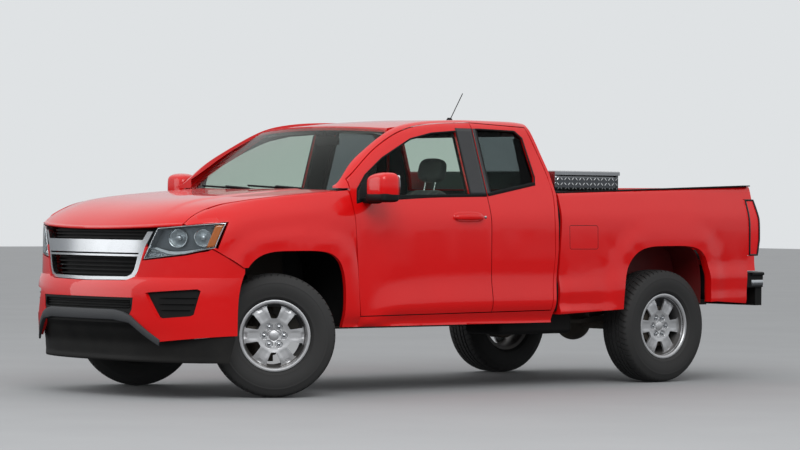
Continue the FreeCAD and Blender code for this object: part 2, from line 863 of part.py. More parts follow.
def slats_shape():
    """Dark louvres behind the surround, on two posts."""
    slats = []
    for z in (752, 777, 802, 827, 852):
        slats.append(nose_band(-450, 450, level(z), level(z + 7), 30, sunk=52, count=13, rows=3))
    for z in (976, 996, 1016):
        slats.append(nose_band(-520, 520, level(z), level(z + 7), 30, sunk=52, count=13, rows=3))
    sheets = nose_band(-600, 600, level(728), level(1032), 6, sunk=84, count=15, rows=5)
    outline = front_view((0, 728), (405, 728), (455, 755), (500, 850), (590, 1050), (0, 1050))
    return sheets.fuse(slats).common(outline)


node(formed("front_fascia", fascia_shape()))
node(formed("front_valance", valance_shape()))
node(formed("grille_surround", grille_shape()))
node(formed("grille_slats", slats_shape()))


def hood_shape():
    """Hood: its blunt front edge follows the nose, its back edge the cowl."""
    def place(along, across):
        half = S.hood_half_width
        for _ in range(4):
            y = half * across
            front = S.front_axle + nose_ahead(y, S.hood_setback)
            back = station(S.hood_back + S.cowl_bow * across ** 2)
            x = front + (back - front) * along
            half = hood_half(x) - S.panel_gap / 2
        return Vector(x, y, hood_top(x, y))

    shares = [share ** 1.7 for share in spaced(0, 1, 17)]
    upper = [[place(along, across) for along in shares] for across in spaced(-1, 1, 21)]
    lower = [[point - Vector(0, 0, S.hood_thickness) for point in row] for row in upper]
    return sheet_solid(upper, lower)


node(formed("hood", hood_shape()))
below_hood = hood_shape()
below_hood.translate(Vector(0, 0, -4))
node(formed("headlamps", both_sides(lamp_shape(wall=62).cut(below_hood))))


def wing_shape():
    """Left front wing: over the arch, from the lamp and bumper cover back to the door."""
    def top(x):
        return hood_top(x, hood_half(x))

    def inset(x):
        return max(side(x, top(x)) - hood_half(x) - S.panel_gap / 2, 6)

    high = station(-716)
    wing = side_wall(station(S.door_front + 25), high, S.sill_z, top, S.wing_round, inset, lambda z: S.skin, columns=21)
    gap = S.panel_gap
    edge = [(door_front_x(z) + gap, z) for z in (S.sill_z - 10, 645, 952, 1172, 1400)]
    seam = [(station(-400), 804), (station(-600), 926), (station(-640), 926), (station(-640), 1500)]
    front = polygon((station(-350), 300), (station(-350), 804), *seam, (edge[-1][0], 1500), *edge[::-1])
    body = wing.common(along_y(front, 0, S.half_length))
    tools = [along_y(arch_profile(False, drop=150), 0, S.half_length), lamp_shape(grow=6, wall=170, proud=40)]
    tools.append(Part.makeBox(400, 2 * S.half_length, 300, Vector(station(-716) - 10, 0, 0)))
    tools.append(hood_plan())
    return body.cut(tools)


def hood_plan():
    """Prism over the hood's plan, a gap wider than it."""
    places = [(x, hood_half(x) + S.panel_gap / 2) for x in spaced(station(S.hood_back + 90), station(-760), 24)]
    edge = [Vector(x, y, 980) for x, y in places]
    curve = Part.BSplineCurve()
    curve.interpolate(edge)
    low, high = Vector(edge[0].x, 0, 980), Vector(edge[-1].x, 0, 980)
    ends = [Part.makeLine(edge[-1], high), Part.makeLine(high, low), Part.makeLine(low, edge[0])]
    return Part.Face(Part.Wire([curve.toShape()] + ends)).extrude(Vector(0, 0, 400))


node(formed("front_wings", both_sides(wing_shape())))


def liner_shape():
    """Front wheel's liner: an arched wall wide enough for the steered wheel."""
    ring = along_y(arch_profile(False, grow=62, drop=200), 452, 866)
    hole = along_y(arch_profile(False, grow=56, drop=190), 400, 900)
    below = Part.makeBox(1400, 600, 300, Vector(station(700), 400, 130))
    return ring.cut([hole, below])


node(formed("wheel_liners", both_sides(liner_shape())))

rear_x = S.front_axle - S.wheelbase

# Bed: its sides stand a gap behind the cab, its rail rises a little to the rear
bed_front = S.cab_back + S.bed_gap
bed_back = bed_front + S.bed_length


def rail_height_at(x):
    """Height of the bed's rail at a place along the truck."""
    back = S.front_axle - x
    return S.rail_z + S.rail_rise * (back - bed_front) / S.bed_length


def bed_side_shape():
    """Left bed side: double wall over the rear arch, open for the tail lamp."""
    low, high = station(bed_back), station(bed_front)
    wall = side_wall(low - 20, high + 20, 470, rail_height_at, 16, lambda x: 14, lambda z: S.bed_side_thickness, columns=23)
    back = [(station(bed_back + 16), 1400), (station(bed_back + 6), 1251), (station(bed_back - 18), 861),
            (station(bed_back - 22), 756), (station(bed_back - 92), 756), (station(bed_back - 102), 530),
            (station(bed_back - 420), 548)]
    front = [(station(bed_front - 30), 479), (station(bed_front - 6), 500), (station(bed_front + 6), 816),
             (station(bed_front + 22), 1132), (station(bed_front + 26), 1400)]
    front = [(station(bed_front + drop), z) for drop, z in ((-44, 479), (-44, 500), (-12, 816), (12, 1132), (18, 1400))]
    outline = polygon(*back, *front)
    body = wall.common(along_y(outline, 0, S.half_length))
    post = Part.makeBox(66, 90, 490, Vector(station(bed_back) + 4, S.tailgate_half_width + S.panel_gap, S.bed_floor_z))
    body = body.fuse(post)
    tools = [along_y(arch_profile(True, drop=150), 0, S.half_length), tail_lamp_box(1.5)]
    arch = along_y(arch_profile(True, grow=14, drop=150), 0, S.body_half_width - S.skin)
    tools.append(arch)
    return body.cut(tools)


def tail_lamp_box(grow=0.0):
    """Room of the left tail lamp at the bed's rear corner."""
    face = polygon((station(bed_back - 82) + grow, 862 - grow), (station(bed_back - 82) + grow, 1252 + grow),
                   (station(bed_back + 60), 1252 + grow), (station(bed_back + 60), 862 - grow))
    return along_y(face, 832 - grow, 1100)


def tail_lamp_shape():
    """Left tail lamp: follows the side and wraps the corner."""
    wall = side_wall(station(bed_back + 70), station(bed_back - 120), 800, lambda x: 1290, 10, lambda x: 6,
                     lambda z: 110, columns=9)
    back = polygon((station(bed_back - 82), 864), (station(bed_back - 82), 1250), (station(bed_back + 8), 1250),
                   (station(bed_back + 36), 1120), (station(bed_back + 36), 970), (station(bed_back + 10), 864))
    return wall.common(along_y(back, 832, 1100))


node(formed("bed_sides", both_sides(bed_side_shape())))
node(formed("tail_lamps", both_sides(tail_lamp_shape())))


def bed_tub_shape():
    """Floor, headboard and the arched boxes over the rear wheels."""
    low, high = station(bed_back) + S.tailgate_thickness + 14, station(bed_front + 8)
    inner = S.body_half_width - S.bed_side_thickness - S.tail_taper - 4
    floor = Part.makeBox(high - low, 2 * inner, 34, Vector(low, -inner, S.bed_floor_z))
    board = [(-inner, S.bed_floor_z), (-inner, 1090), (-inner + 56, 1272)]
    board = [Vector(high - 40, y, z) for y, z in board + [(-y, z) for y, z in reversed(board)]]
    head = Part.Face(Part.makePolygon(board + board[:1])).extrude(Vector(40, 0, 0))
    tub = floor.fuse(head)
    for hand in (1, -1):
        crown = along_y(arch_profile(True, grow=22, drop=300), S.wheelhouse_half_gap, inner)
        hollow = along_y(arch_profile(True, grow=14, drop=290), S.wheelhouse_half_gap + 8, inner + 20)
        if hand < 0:
            crown, hollow = other_side(crown), other_side(hollow)
        tub = tub.fuse(crown).cut(hollow)
    below = Part.makeBox(3000, 2400, 500, Vector(station(bed_back) - 300, -1200, S.tyre_radius - 500 + 150))
    return tub.cut(below)


def rail_cap_shape():
    """Black cap along the top of the left rail."""
    low, high = station(bed_back - 2), station(bed_front + 4)
    points = [(x, rail_height_at(x) + lift) for x, lift in ((low, 0.3), (high, 0.3), (high, S.cap_thickness), (low, S.cap_thickness))]
    return along_y(polygon(*points), 792, 862)


node(formed("bed_tub", bed_tub_shape()))
node(formed("bed_rail_caps", both_sides(rail_cap_shape())))


def tailgate_shape():
    """Tailgate: shut between the bed sides, hinged at its foot."""
    back = station(bed_back)
    outer = [(back - 2, 1332), (back + 6, 1240), (back - 14, 1000), (back - 16, S.bed_floor_z + 2)]
    inner = [(x + S.tailgate_thickness, z) for x, z in outer]
    gate = along_y(polygon(*outer, *inner[::-1]), -S.tailgate_half_width, S.tailgate_half_width)
    return gate


node(formed("tailgate", tailgate_shape()))


def rear_bumper_shape():
    """Rear bumper with corner steps, its lower plate and the towing socket."""
    reach = S.half_length
    inner_x = rear_x - S.frame_tail - 0.3
    plan = [(-reach, 0), (-reach, 520), (-reach + 60, 700), (-reach + 120, 800), (-reach + 226, 905),
            (station(bed_back - 84), 918), (station(bed_back - 84), 850), (inner_x, 830), (inner_x, 0)]
    loop = [Vector(x, y, 0) for x, y in plan] + [Vector(x, -y, 0) for x, y in reversed(plan[1:-1])]
    face = Part.Face(Part.makePolygon(loop + [loop[0]]))
    face.translate(Vector(0, 0, 640))
    bar = face.extrude(Vector(0, 0, 104))
    chin = face.copy()
    chin.translate(Vector(12, 0, -128))
    chin = chin.extrude(Vector(0, 0, 128)).common(Part.makeBox(inner_x + reach - 14, 1780, 400, Vector(-reach + 14, -890, 400)))
    body = bar.fuse(chin)
    step = Part.makeBox(200, 200, 60, Vector(-reach - 60, 640, 700))
    recess = Part.makeBox(60, 330, 150, Vector(-reach - 10, -165, 560))
    inner = Part.makeBox(180, 1500, 90, Vector(inner_x - 182, -750, 490))
    ball = Part.makeCylinder(12.7, 400, Vector(-reach + 110, 0, 400))
    pocket = Part.makeBox(90, 120, 230, Vector(-reach + 65, -60, 482))
    return body.cut([step, other_side(step), recess, inner, ball, pocket])


node(formed("rear_bumper", rear_bumper_shape()))

# Toolbox across the bed: an open box on the rails, and its hinged lid
box_front = bed_front + 62
box_rim_z = S.rail_z + 42


def toolbox_shape():
    """Open box between the bed's walls, with a rim that rests on the rails."""
    low, high = station(box_front + S.box_length), station(box_front)
    floor = box_rim_z + S.box_rise - S.box_height
    half = 690
    wall = 3
    tub = Part.makeBox(high - low, 2 * half, S.box_height, Vector(low, -half, floor))
    space = Part.makeBox(high - low - 2 * wall, 2 * half - 2 * wall, S.box_height, Vector(low + wall, -half + wall, floor + wall))
    rim = Part.makeBox(high - low, 2 * S.box_half_width, S.box_rise - 4, Vector(low, -S.box_half_width, box_rim_z + 4))
    mouth = Part.makeBox(high - low - 2 * wall, 2 * half - 2 * wall, 200, Vector(low + wall, -half + wall, floor + wall))
    ends = Part.makeBox(high - low - 2 * wall, 2 * S.box_half_width - 2 * wall, S.box_rise, Vector(low + wall, -S.box_half_width + wall, box_rim_z + 4 + wall))
    return tub.fuse(rim).cut([space, mouth, ends])


def toolbox_lid_shape():
    """Lid with turned-down edges."""
    low, high = station(box_front + S.box_length) - 8, station(box_front) + 8
    z = box_rim_z + S.box_rise + 1
    half = S.box_half_width + 8
    plate = Part.makeBox(high - low, 2 * half, S.box_lid, Vector(low, -half, z - 18))
    under = Part.makeBox(high - low - 4, 2 * half - 4, 18, Vector(low + 2, -half + 2, z - 18))
    lid = plate.cut(under)
    return lid.makeChamfer(4, [edge for edge in lid.Edges if edge.BoundBox.ZMin > z + S.box_lid - 18 - 1])


node(formed("toolbox", toolbox_shape()))
node(formed("toolbox_lid", toolbox_lid_shape()))

# Cab floor, firewall and dashboard
floor_shape = Part.makeBox(S.cab_back - S.firewall_station - 84, 1590, S.floor_thickness,
                           Vector(station(S.cab_back - 30), -795, S.floor_z))
tunnel = Part.makeBox(1180, 2 * S.tunnel_half_width, S.tunnel_rise, Vector(station(1700), -S.tunnel_half_width, S.floor_z))
tunnel_hollow = Part.makeBox(1200, 2 * S.tunnel_half_width - 24, S.tunnel_rise, Vector(station(1705), -S.tunnel_half_width + 12, S.floor_z - 12))
firewall = Part.makeBox(40, 1380, 1240 - S.floor_z, Vector(station(S.firewall_station + 54), -690, S.floor_z))
cowl = Part.makeBox(110, 1380, 40, Vector(station(S.firewall_station + 14), -690, 1200))
cab_floor = floor_shape.fuse([tunnel, firewall, cowl]).cut(tunnel_hollow)
node(formed("cab_floor", cab_floor))

dash = profile([(station(560), 1215), (station(640), 1235), (station(760), 1225), (station(860), 1180)],
               ((station(860), 1180), (station(880), 1080)), ((station(880), 1080), (station(830), 900)),
               ((station(830), 900), (station(700), 860)), ((station(700), 860), (station(560), 1000)),
               ((station(560), 1000), (station(560), 1215)))
column_axis = Rotation(Vector(0, 1, 0), -90 + 24).multVec(Vector(0, 0, -1))
column_hole = Part.makeCylinder(28.6, 400, Vector(station(985), 360, 1090), column_axis)
node(formed("dashboard", along_y(dash, -745, 745).cut(column_hole)))


def seat_shape(centre, back):
    """Front seat: cushion, leaning back and head restraint, as one plain form."""
    half = 250
    def part(points, low, high, radius):
        solid = along_y(polygon(*[(station(back + x), z) for x, z in points]), centre + low, centre + high)
        return solid.makeFillet(radius, solid.Edges)
    cushion = part(((-500, 700), (-520, 830), (-30, 790), (0, 660)), -half, half, 34)
    rest = part(((-60, 760), (130, 1330), (220, 1300), (70, 700)), -half + 10, half - 10, 34)
    head = part(((110, 1350), (150, 1520), (240, 1500), (205, 1330)), -125, 125, 30)
    posts = Part.makeCylinder(7, 90, Vector(station(back + 165), centre - 50, 1290)).fuse(
        Part.makeCylinder(7, 90, Vector(station(back + 165), centre + 50, 1290)))
    base = Part.makeBox(360, 380, 170, Vector(station(back - 20) + 0, centre - 190, S.floor_z + S.floor_thickness + 0.3))
    return cushion.fuse([rest, head, posts, base])


node(formed("front_seats", Part.makeCompound([seat_shape(360, 1440), seat_shape(-360, 1440)])))


def rear_seat_shape(centre):
    """Folding rear seat: cushion against the back wall."""
    back = S.cab_back
    cushion = along_y(polygon((station(back - 70), 700), (station(back - 70), 800), (station(back - 380), 800),
                              (station(back - 380), 720)), centre - 220, centre + 220)
    rest = along_y(polygon((station(back - 60), 810), (station(back - 50), 1230), (station(back - 100), 1230),
                           (station(back - 130), 810)), centre - 220, centre + 220)
    base = Part.makeBox(240, 380, 189, Vector(station(back - 90), centre - 190, S.floor_z + S.floor_thickness + 0.3))
    return cushion.makeFillet(20, cushion.Edges).fuse([rest.makeFillet(16, rest.Edges), base])


node(formed("rear_seats", Part.makeCompound([rear_seat_shape(330), rear_seat_shape(-330)])))

# Steering wheel, turned with the front wheels
WHEEL_PLACE = Vector(station(985), 360, 1090)
WHEEL_TILT = 24


def steering_wheel_shape():
    """Rim, three spokes, hub and column, made flat and then tilted."""
    rim = Part.makeTorus(178, 14)
    hub = Part.makeCylinder(62, 40, Vector(0, 0, -30))
    spokes = [Part.makeBox(170, 34, 12, Vector(0, -17, -14)).rotate(Vector(), Vector(0, 0, 1), turn) for turn in (0, 130, 230)]
    column = Part.makeCylinder(28, 90, Vector(0, 0, -118))
    return rim.fuse([hub, column] + spokes)


node(formed("steering_wheel", steering_wheel_shape(), Placement(WHEEL_PLACE, Rotation(Vector(0, 1, 0), -90 + WHEEL_TILT))))


def mirror_shape():
    """Door mirror: foot on the door's corner and a rounded head."""
    x = station(600)
    head = Part.makeBox(120, 190, 140, Vector(x - 60, 948, 1196))
    head = head.makeFillet(42, [edge for edge in head.Edges if edge.BoundBox.XMax > x + 50])
    foot = Part.makeBox(90, 110, 46, Vector(x - 45, 862, 1196))
    door_side = cab_side(lambda z: 140, *FRONT_RANGE)
    door_side.translate(Vector(0, 0.3, 0))
    return head.fuse(foot).cut(door_side)


node(formed("mirror_left", mirror_shape()))
node(formed("mirror_right", other_side(mirror_shape())))

# Roof aerial: a short base and a thin mast that leans back
aerial_foot = Vector(station(2085), 0, roof_top(station(2085), 0) + 0.6)
mast_top = aerial_foot + Vector(-118, 0, 190)
aerial = Part.makeCone(26, 13, 22, aerial_foot).fuse(
    Part.makeCylinder(3, (mast_top - aerial_foot).Length, aerial_foot, mast_top - aerial_foot))
node(formed("aerial", aerial))

# Ladder frame: two rails that rise over the axles, joined by cross members
REAR_AXLE = "front_axle - wheelbase"
RAIL_TOP = [
    ("front_axle + 760", "frame_z + rail_height + 30"),
    ("front_axle + 300", "frame_z + rail_height + 40"),
    ("front_axle - 420", "frame_z + rail_height"),
    (REAR_AXLE + " + 700", "frame_z + rail_height"),
    (REAR_AXLE + " + 420", "frame_z + rail_height + frame_kick + 60"),
    (REAR_AXLE + " - 380", "frame_z + rail_height + frame_kick + 60"),
    (REAR_AXLE + " - 640", "frame_z + rail_height + 90"),
    (REAR_AXLE + " - frame_tail", "frame_z + rail_height + 90"),
]
RAIL_FOOT = [
    (REAR_AXLE + " - frame_tail", "frame_z + 110"),
    (REAR_AXLE + " - 640", "frame_z + 110"),
    (REAR_AXLE + " - 380", "frame_z + frame_kick + 80"),
    (REAR_AXLE + " + 420", "frame_z + frame_kick + 80"),
    (REAR_AXLE + " + 700", "frame_z"),
    ("front_axle - 420", "frame_z"),
    ("front_axle + 300", "frame_z + 50"),
    ("front_axle + 760", "frame_z + 60"),
]
rail = padded("frame_rail", "XZ_Plane", RAIL_TOP + RAIL_FOOT, "rail_half_gap", "rail_half_gap + rail_width")
members = []
CROSS_MEMBERS = (
    ("front_axle + 550", "front_axle + 640", "frame_z + 70", "frame_z + 160"),
    ("front_axle - 120", "front_axle + 40", "frame_z + 20", "frame_z + 90"),
    ("front_axle - 1300", "front_axle - 1180", "frame_z", "frame_z + 36"),
    ("front_axle - 2260", "front_axle - 2180", "frame_z + 105", "frame_z + rail_height"),
    (REAR_AXLE + " + 330", REAR_AXLE + " + 400", "frame_z + frame_kick + 100", "frame_z + frame_kick + 190"),
    (REAR_AXLE + " - 330", REAR_AXLE + " - 270", "frame_z + frame_kick + 110", "frame_z + frame_kick + 190"),
    (REAR_AXLE + " - frame_tail", REAR_AXLE + " - frame_tail + 60", "frame_z + 130", "frame_z + 220"),
)
for number, (back, ahead, low, high) in enumerate(CROSS_MEMBERS, start=1):
    members.append(block("cross_member_%d" % number, (back, ahead), ("-rail_half_gap", "rail_half_gap"), (low, high)))
for number, back in enumerate((620, 1500, 2120), start=1):
    for hand, sign in (("left", 1), ("right", -1)):
        place = (station(back), sign * (S.rail_half_gap + S.rail_width / 2), S.frame_z + S.rail_height - 4)
        top = (place[0], place[1], S.floor_z - 0.3)
        members.append(rod("body_mount_%d_%s" % (number, hand), place, top, "rail_width * 0.45"))
node(fuse("ladder_frame", rail, mirrored("frame_rail_right", rail), *members))

# Rear axle with its housing, brake drums and the propeller shaft
hub_face = S.track / 2 + S.wheel_offset
axle_z = S.tyre_radius
tube = rod("axle_tube", (rear_x, -hub_face + 60, axle_z), (rear_x, hub_face - 60, axle_z), "hub_radius * 0.72")
casing = doc.addObject("Part::Sphere", "axle_casing")
casing.setExpression("Radius", in_sheet("hub_radius * 2.3"))
casing.Placement = Placement(Vector(rear_x, 0, axle_z), Rotation())
drums = [rod("drum_%s" % hand, (rear_x, sign * (hub_face - 120), axle_z), (rear_x, sign * (hub_face - 0.3), axle_z),
             "hub_radius * 2.5") for hand, sign in (("left", 1), ("right", -1))]
shaft = rod("propeller_shaft", (rear_x + 90, 0, axle_z + 20), (station(1578), 0, 498), "hub_radius * 0.7")
node(fuse("rear_axle", tube, casing, shaft, *drums))

# Leaf springs under the bed, seated on the axle, with their eyes at the frame's sides
leaf_y = S.rail_half_gap + S.rail_width + 8
leaf_profile = profile(
    [(rear_x + 660, 432), (rear_x + 330, 400), (rear_x, axle_z + 42), (rear_x - 360, 420), (rear_x - 700, 480)],
    ((rear_x - 700, 480), (rear_x - 700, 492)),
    [(rear_x - 700, 492), (rear_x - 360, 436), (rear_x, axle_z + 82), (rear_x + 330, 428), (rear_x + 660, 444)],
    ((rear_x + 660, 444), (rear_x + 660, 432)))
spring = along_y(leaf_profile, leaf_y, leaf_y + 62)
eye_front = Part.makeCylinder(26, 78, Vector(rear_x + 672, leaf_y - 8, 446), Vector(0, 1, 0))
eye_back = Part.makeBox(50, 70, 110, Vector(rear_x - 720, leaf_y - 8, 470))
clamp = Part.makeBox(130, 80, 66, Vector(rear_x - 65, leaf_y - 8, axle_z + 39.2))
node(formed("leaf_springs", both_sides(spring.fuse([eye_front, eye_back, clamp]))))

# Engine and gearbox as plain blocks at their real size, and the radiator ahead of them
engine = block("engine", ("front_axle - 430", "front_axle + 190"), ("-hub_radius * 5", "hub_radius * 5"), ("frame_z + 92", "frame_z + 640"))
gearbox = block("gearbox", ("front_axle - 1570", "front_axle - 430"), ("-hub_radius * 2.2", "hub_radius * 2.2"), ("frame_z + 36.3", "frame_z + 210"))
bell = block("bell_housing", ("front_axle - 660", "front_axle - 430"), ("-hub_radius * 2.4", "hub_radius * 2.4"), ("frame_z + 36.3", "frame_z + 230"))
node(fuse("engine_and_gearbox", engine, gearbox, bell))
node(block("radiator", ("front_axle + 560", "front_axle + 620"), ("-hub_radius * 6.3", "hub_radius * 6.3"), ("frame_z + 160.3", "frame_z + 600")))

# Exhaust along the right side, and the fuel tank on the left
exhaust_z = S.frame_z + 71
tail_y = -(S.rail_half_gap - 45)
exhaust_route = ((station(900), -215, exhaust_z), (station(1400), -215, exhaust_z), (station(1900), -215, exhaust_z),
                 (rear_x + 925, -250, exhaust_z), (rear_x + 525, tail_y, exhaust_z), (rear_x - 60, tail_y, exhaust_z),
                 (rear_x - 290, -372, 368), (rear_x - 640, -600, 368))
pipe_line = Part.BSplineCurve()
pipe_line.interpolate([Vector(*place) for place in exhaust_route])
pipe_end = Part.Face(Part.Wire(Part.makeCircle(S.hub_radius / 2, Vector(*exhaust_route[0]), pipe_line.tangent(0)[0])))
pipe = Part.Wire(pipe_line.toShape()).makePipe(pipe_end)
silencer = Part.makeBox(410, 168, 108, Vector(rear_x + 520, -330, S.frame_z + 10))
node(formed("exhaust", pipe.fuse(silencer.makeFillet(24, silencer.Edges))))
tank = block("tank_block", (REAR_AXLE + " + 740", REAR_AXLE + " + 1400"), ("rail_half_gap + rail_width + 0.3", "body_half_width - 160"), ("frame_z - 50", "frame_z + 130"))
tank_round = doc.addObject("Part::Fillet", "fuel_tank")
tank_round.Base = tank
doc.recompute()
tank_round.Edges = [(number, 30.0, 30.0) for number in range(1, len(tank.Shape.Edges) + 1)]
node(tank_round)
tank_round.Label = "fuel_tank"

# Front suspension: arms from the frame to the kingpins, coil units and the steering rack
def suspension_side():
    """Left side's two arms and coil unit, which meet the frame's outer face."""
    x, rail_y = S.front_axle, S.rail_half_gap + S.rail_width
    kingpin = S.kingpin_half_track
    arms = []
    for z, spread, reach in ((axle_z - 160, 210, 20), (axle_z + 146, 120, 16)):
        plan = [(x + spread, rail_y), (x + reach, kingpin - 14), (x - reach, kingpin - 14), (x - spread, rail_y)]
        face = Part.Face(Part.makePolygon([Vector(a, b, z) for a, b in plan + plan[:1]]))
        arms.append(face.extrude(Vector(0, 0, 24)))
        arms.append(Part.makeCylinder(17, 34, Vector(x, kingpin - 4, z - 5)))
    coil = Part.makeCylinder(52, 300, Vector(x, rail_y + 66, axle_z - 136))
    bracket = Part.makeBox(120, 120, 200, Vector(x - 60, rail_y, axle_z + 164))
    drop = Part.makeBox(420, 40, 190, Vector(x - 210, rail_y, axle_z - 164))
    return arms[0].fuse(arms[1:] + [coil, bracket, drop])


rack = Part.makeCylinder(26, 2 * (S.rail_half_gap + S.rail_width + 40) - 80, Vector(S.front_axle - 200, -(S.rail_half_gap + S.rail_width), 378), Vector(0, 1, 0))
half_suspension = suspension_side()
node(formed("front_suspension", half_suspension.fuse([other_side(half_suspension), rack])))

# Spare wheel slung below the rails behind the axle
spare = Part.makeCylinder(340, 170, Vector(rear_x - 560, 0, 330))
spare = spare.makeFillet(40, [edge for edge in spare.Edges if edge.Closed])
spare = spare.cut(Part.makeCylinder(190, 60, Vector(rear_x - 560, 0, 329)))
spare = spare.fuse(Part.makeCylinder(30, 60, Vector(rear_x - 560, 0, 495)))
node(formed("spare_wheel", spare))

# Knuckles: they turn about the kingpins and carry the front hubs
steer = Rotation(Vector(0, 0, 1), -S.steer_rest)


def knuckle_shape():
    """Left knuckle, made straight ahead about its kingpin: upright, steering arm, hub and calliper."""
    reach = hub_face - S.kingpin_half_track
    upright = Part.makeBox(64, 44, 250, Vector(-32, -16, -125))
    upright = upright.makeFillet(12, upright.Edges)
    bosses = [Part.makeCylinder(24, 26, Vector(0, 0, z)) for z in (-126, 102)]
    arm = Part.makeBox(150, 30, 24, Vector(-160, -14, -30))
    hub = Part.makeCylinder(S.hub_radius, reach - 0.3, Vector(0, 0, 0), Vector(0, 1, 0))
    calliper = Part.makeBox(60, 60, 110, Vector(100, 30, -55))
    bridge = Part.makeBox(110, 30, 60, Vector(10, 4, -30))
    return upright.fuse(bosses + [arm, hub, calliper, bridge])


knuckle = knuckle_shape()
for hand, sign in (("left", 1), ("right", -1)):
    shape = knuckle if sign > 0 else other_side(knuckle)
    pin = Vector(S.front_axle, sign * S.kingpin_half_track, axle_z)
    node(formed("knuckle_" + hand, shape, Placement(pin, steer)))

# Wheels: one tyre and one rim, turned about their own Y axis with +Y outboard
TYRE_OUTLINE = [
    ("-(rim_width / 2) + 5", "rim_seat_radius + 0.3"),
    ("-(rim_width / 2) + 1", "rim_seat_radius + 4.3"),
    ("-(rim_width / 2) + 1", "rim_radius + 0.5"),
    ("-(tyre_width / 2) + 4", "rim_radius + 26"),
    ("-(tyre_width / 2)", "(rim_radius + tyre_radius) / 2 - 6"),
    ("-(tyre_width / 2) + 6", "tyre_radius - 42"),
    ("-(tread_width / 2) - 8", "tyre_radius - 14"),
    ("-(tread_width / 2) + 8", "tyre_radius - 4"),
    ("-(tread_width / 4)", "tyre_radius"),
    ("tread_width / 4", "tyre_radius"),
    ("tread_width / 2 - 8", "tyre_radius - 4"),
    ("tread_width / 2 + 8", "tyre_radius - 14"),
    ("tyre_width / 2 - 6", "tyre_radius - 42"),
    ("tyre_width / 2", "(rim_radius + tyre_radius) / 2 - 6"),
    ("tyre_width / 2 - 4", "rim_radius + 26"),
    ("rim_width / 2 - 1", "rim_radius + 0.5"),
    ("rim_width / 2 - 1", "rim_seat_radius + 4.3"),
    ("rim_width / 2 - 5", "rim_seat_radius + 0.3"),
]
tyre = turned("tyre_form", TYRE_OUTLINE)
RIM_OUTLINE = [
    ("-(rim_width / 2)", "rim_seat_radius - 12"),
    ("-(rim_width / 2) - 6", "rim_radius"),
    ("-(rim_width / 2)", "rim_radius"),
    ("-(rim_width / 2) + 0.3", "rim_seat_radius"),
    ("rim_width / 2 - 0.3", "rim_seat_radius"),
    ("rim_width / 2", "rim_radius"),
    ("rim_width / 2 + 8", "rim_radius"),
    ("rim_width / 2 + 8", "rim_radius - 14"),
    ("rim_width / 2 + 1", "rim_seat_radius - 7"),
    ("rim_width / 2 - 12", "rim_seat_radius - 9"),
    ("wheel_offset + 30", "window_outer + 8"),
    ("wheel_offset + 34", "window_inner"),
    ("wheel_offset + 26", "hub_bore + 30"),
    ("wheel_offset + 26", "hub_bore"),
    ("wheel_offset", "hub_bore"),
    ("wheel_offset", "hub_radius + 44"),
    ("wheel_offset + 6", "window_outer"),
    ("wheel_offset - 20", "rim_seat_radius - 14"),
]
rim = turned("rim_form", RIM_OUTLINE)
doc.recompute()
window = Part.Face(Part.makePolygon([Vector(x, 0, z) for x, z in
                                     ((-14, 103), (14, 103), (56, 176), (28, 187), (-28, 187), (-56, 176), (-14, 103))]))
windows = []
for number in range(int(S.spoke_count)):
    cutter = window.extrude(Vector(0, 400, 0))
    cutter.rotate(Vector(), Vector(0, 1, 0), 360 / S.spoke_count * number)
    windows.append(cutter)
    lug = Part.makeCylinder(S.lug_hole, 400, Vector(0, 0, 0), Vector(0, 1, 0))
    lug.translate(Vector(0, 0, S.lug_circle))
    lug.rotate(Vector(), Vector(0, 1, 0), 360 / S.spoke_count * (number + 0.5))
    windows.append(lug)
rim_shape = rim.Shape.cut(windows)
tyre_shape = tyre.Shape
WHEELS = (("front_left", 1, True), ("front_right", -1, True), ("rear_left", 1, False), ("rear_right", -1, False))
for place, sign, steered in WHEELS:
    turn = Rotation() if sign > 0 else Rotation(Vector(0, 0, 1), 180)
    if steered:
        pin = Vector(S.front_axle, sign * S.kingpin_half_track, axle_z)
        centre = pin + steer.multVec(Vector(0, sign * (S.track / 2 - S.kingpin_half_track), 0))
        turn = steer.multiply(turn)
    else:
        centre = Vector(rear_x, sign * S.track / 2, axle_z)
    node(formed("tyre_" + place, tyre_shape, Placement(centre, turn)))
    node(formed("rim_" + place, rim_shape, Placement(centre, turn)))

doc.recompute()
faults = [item.Label for item in doc.Objects if {"Invalid", "Error"} & set(item.State)]
faults += [item.Label for item in NODES if item.Shape.isNull() or not item.Shape.isValid()]
if faults:
    raise RuntimeError("failed: " + ", ".join(faults))
os.makedirs("parts", exist_ok=True)
for item in NODES:
    item.Shape.exportStep("parts/%s.step" % item.Label)
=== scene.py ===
"""Extended-cab pickup truck, dressed: metres, +X forward, +Y left, +Z up, origin on the ground."""
import json
import logging
import math
from dataclasses import dataclass, replace
from enum import Enum
from typing import Any, Callable, Optional, Sequence

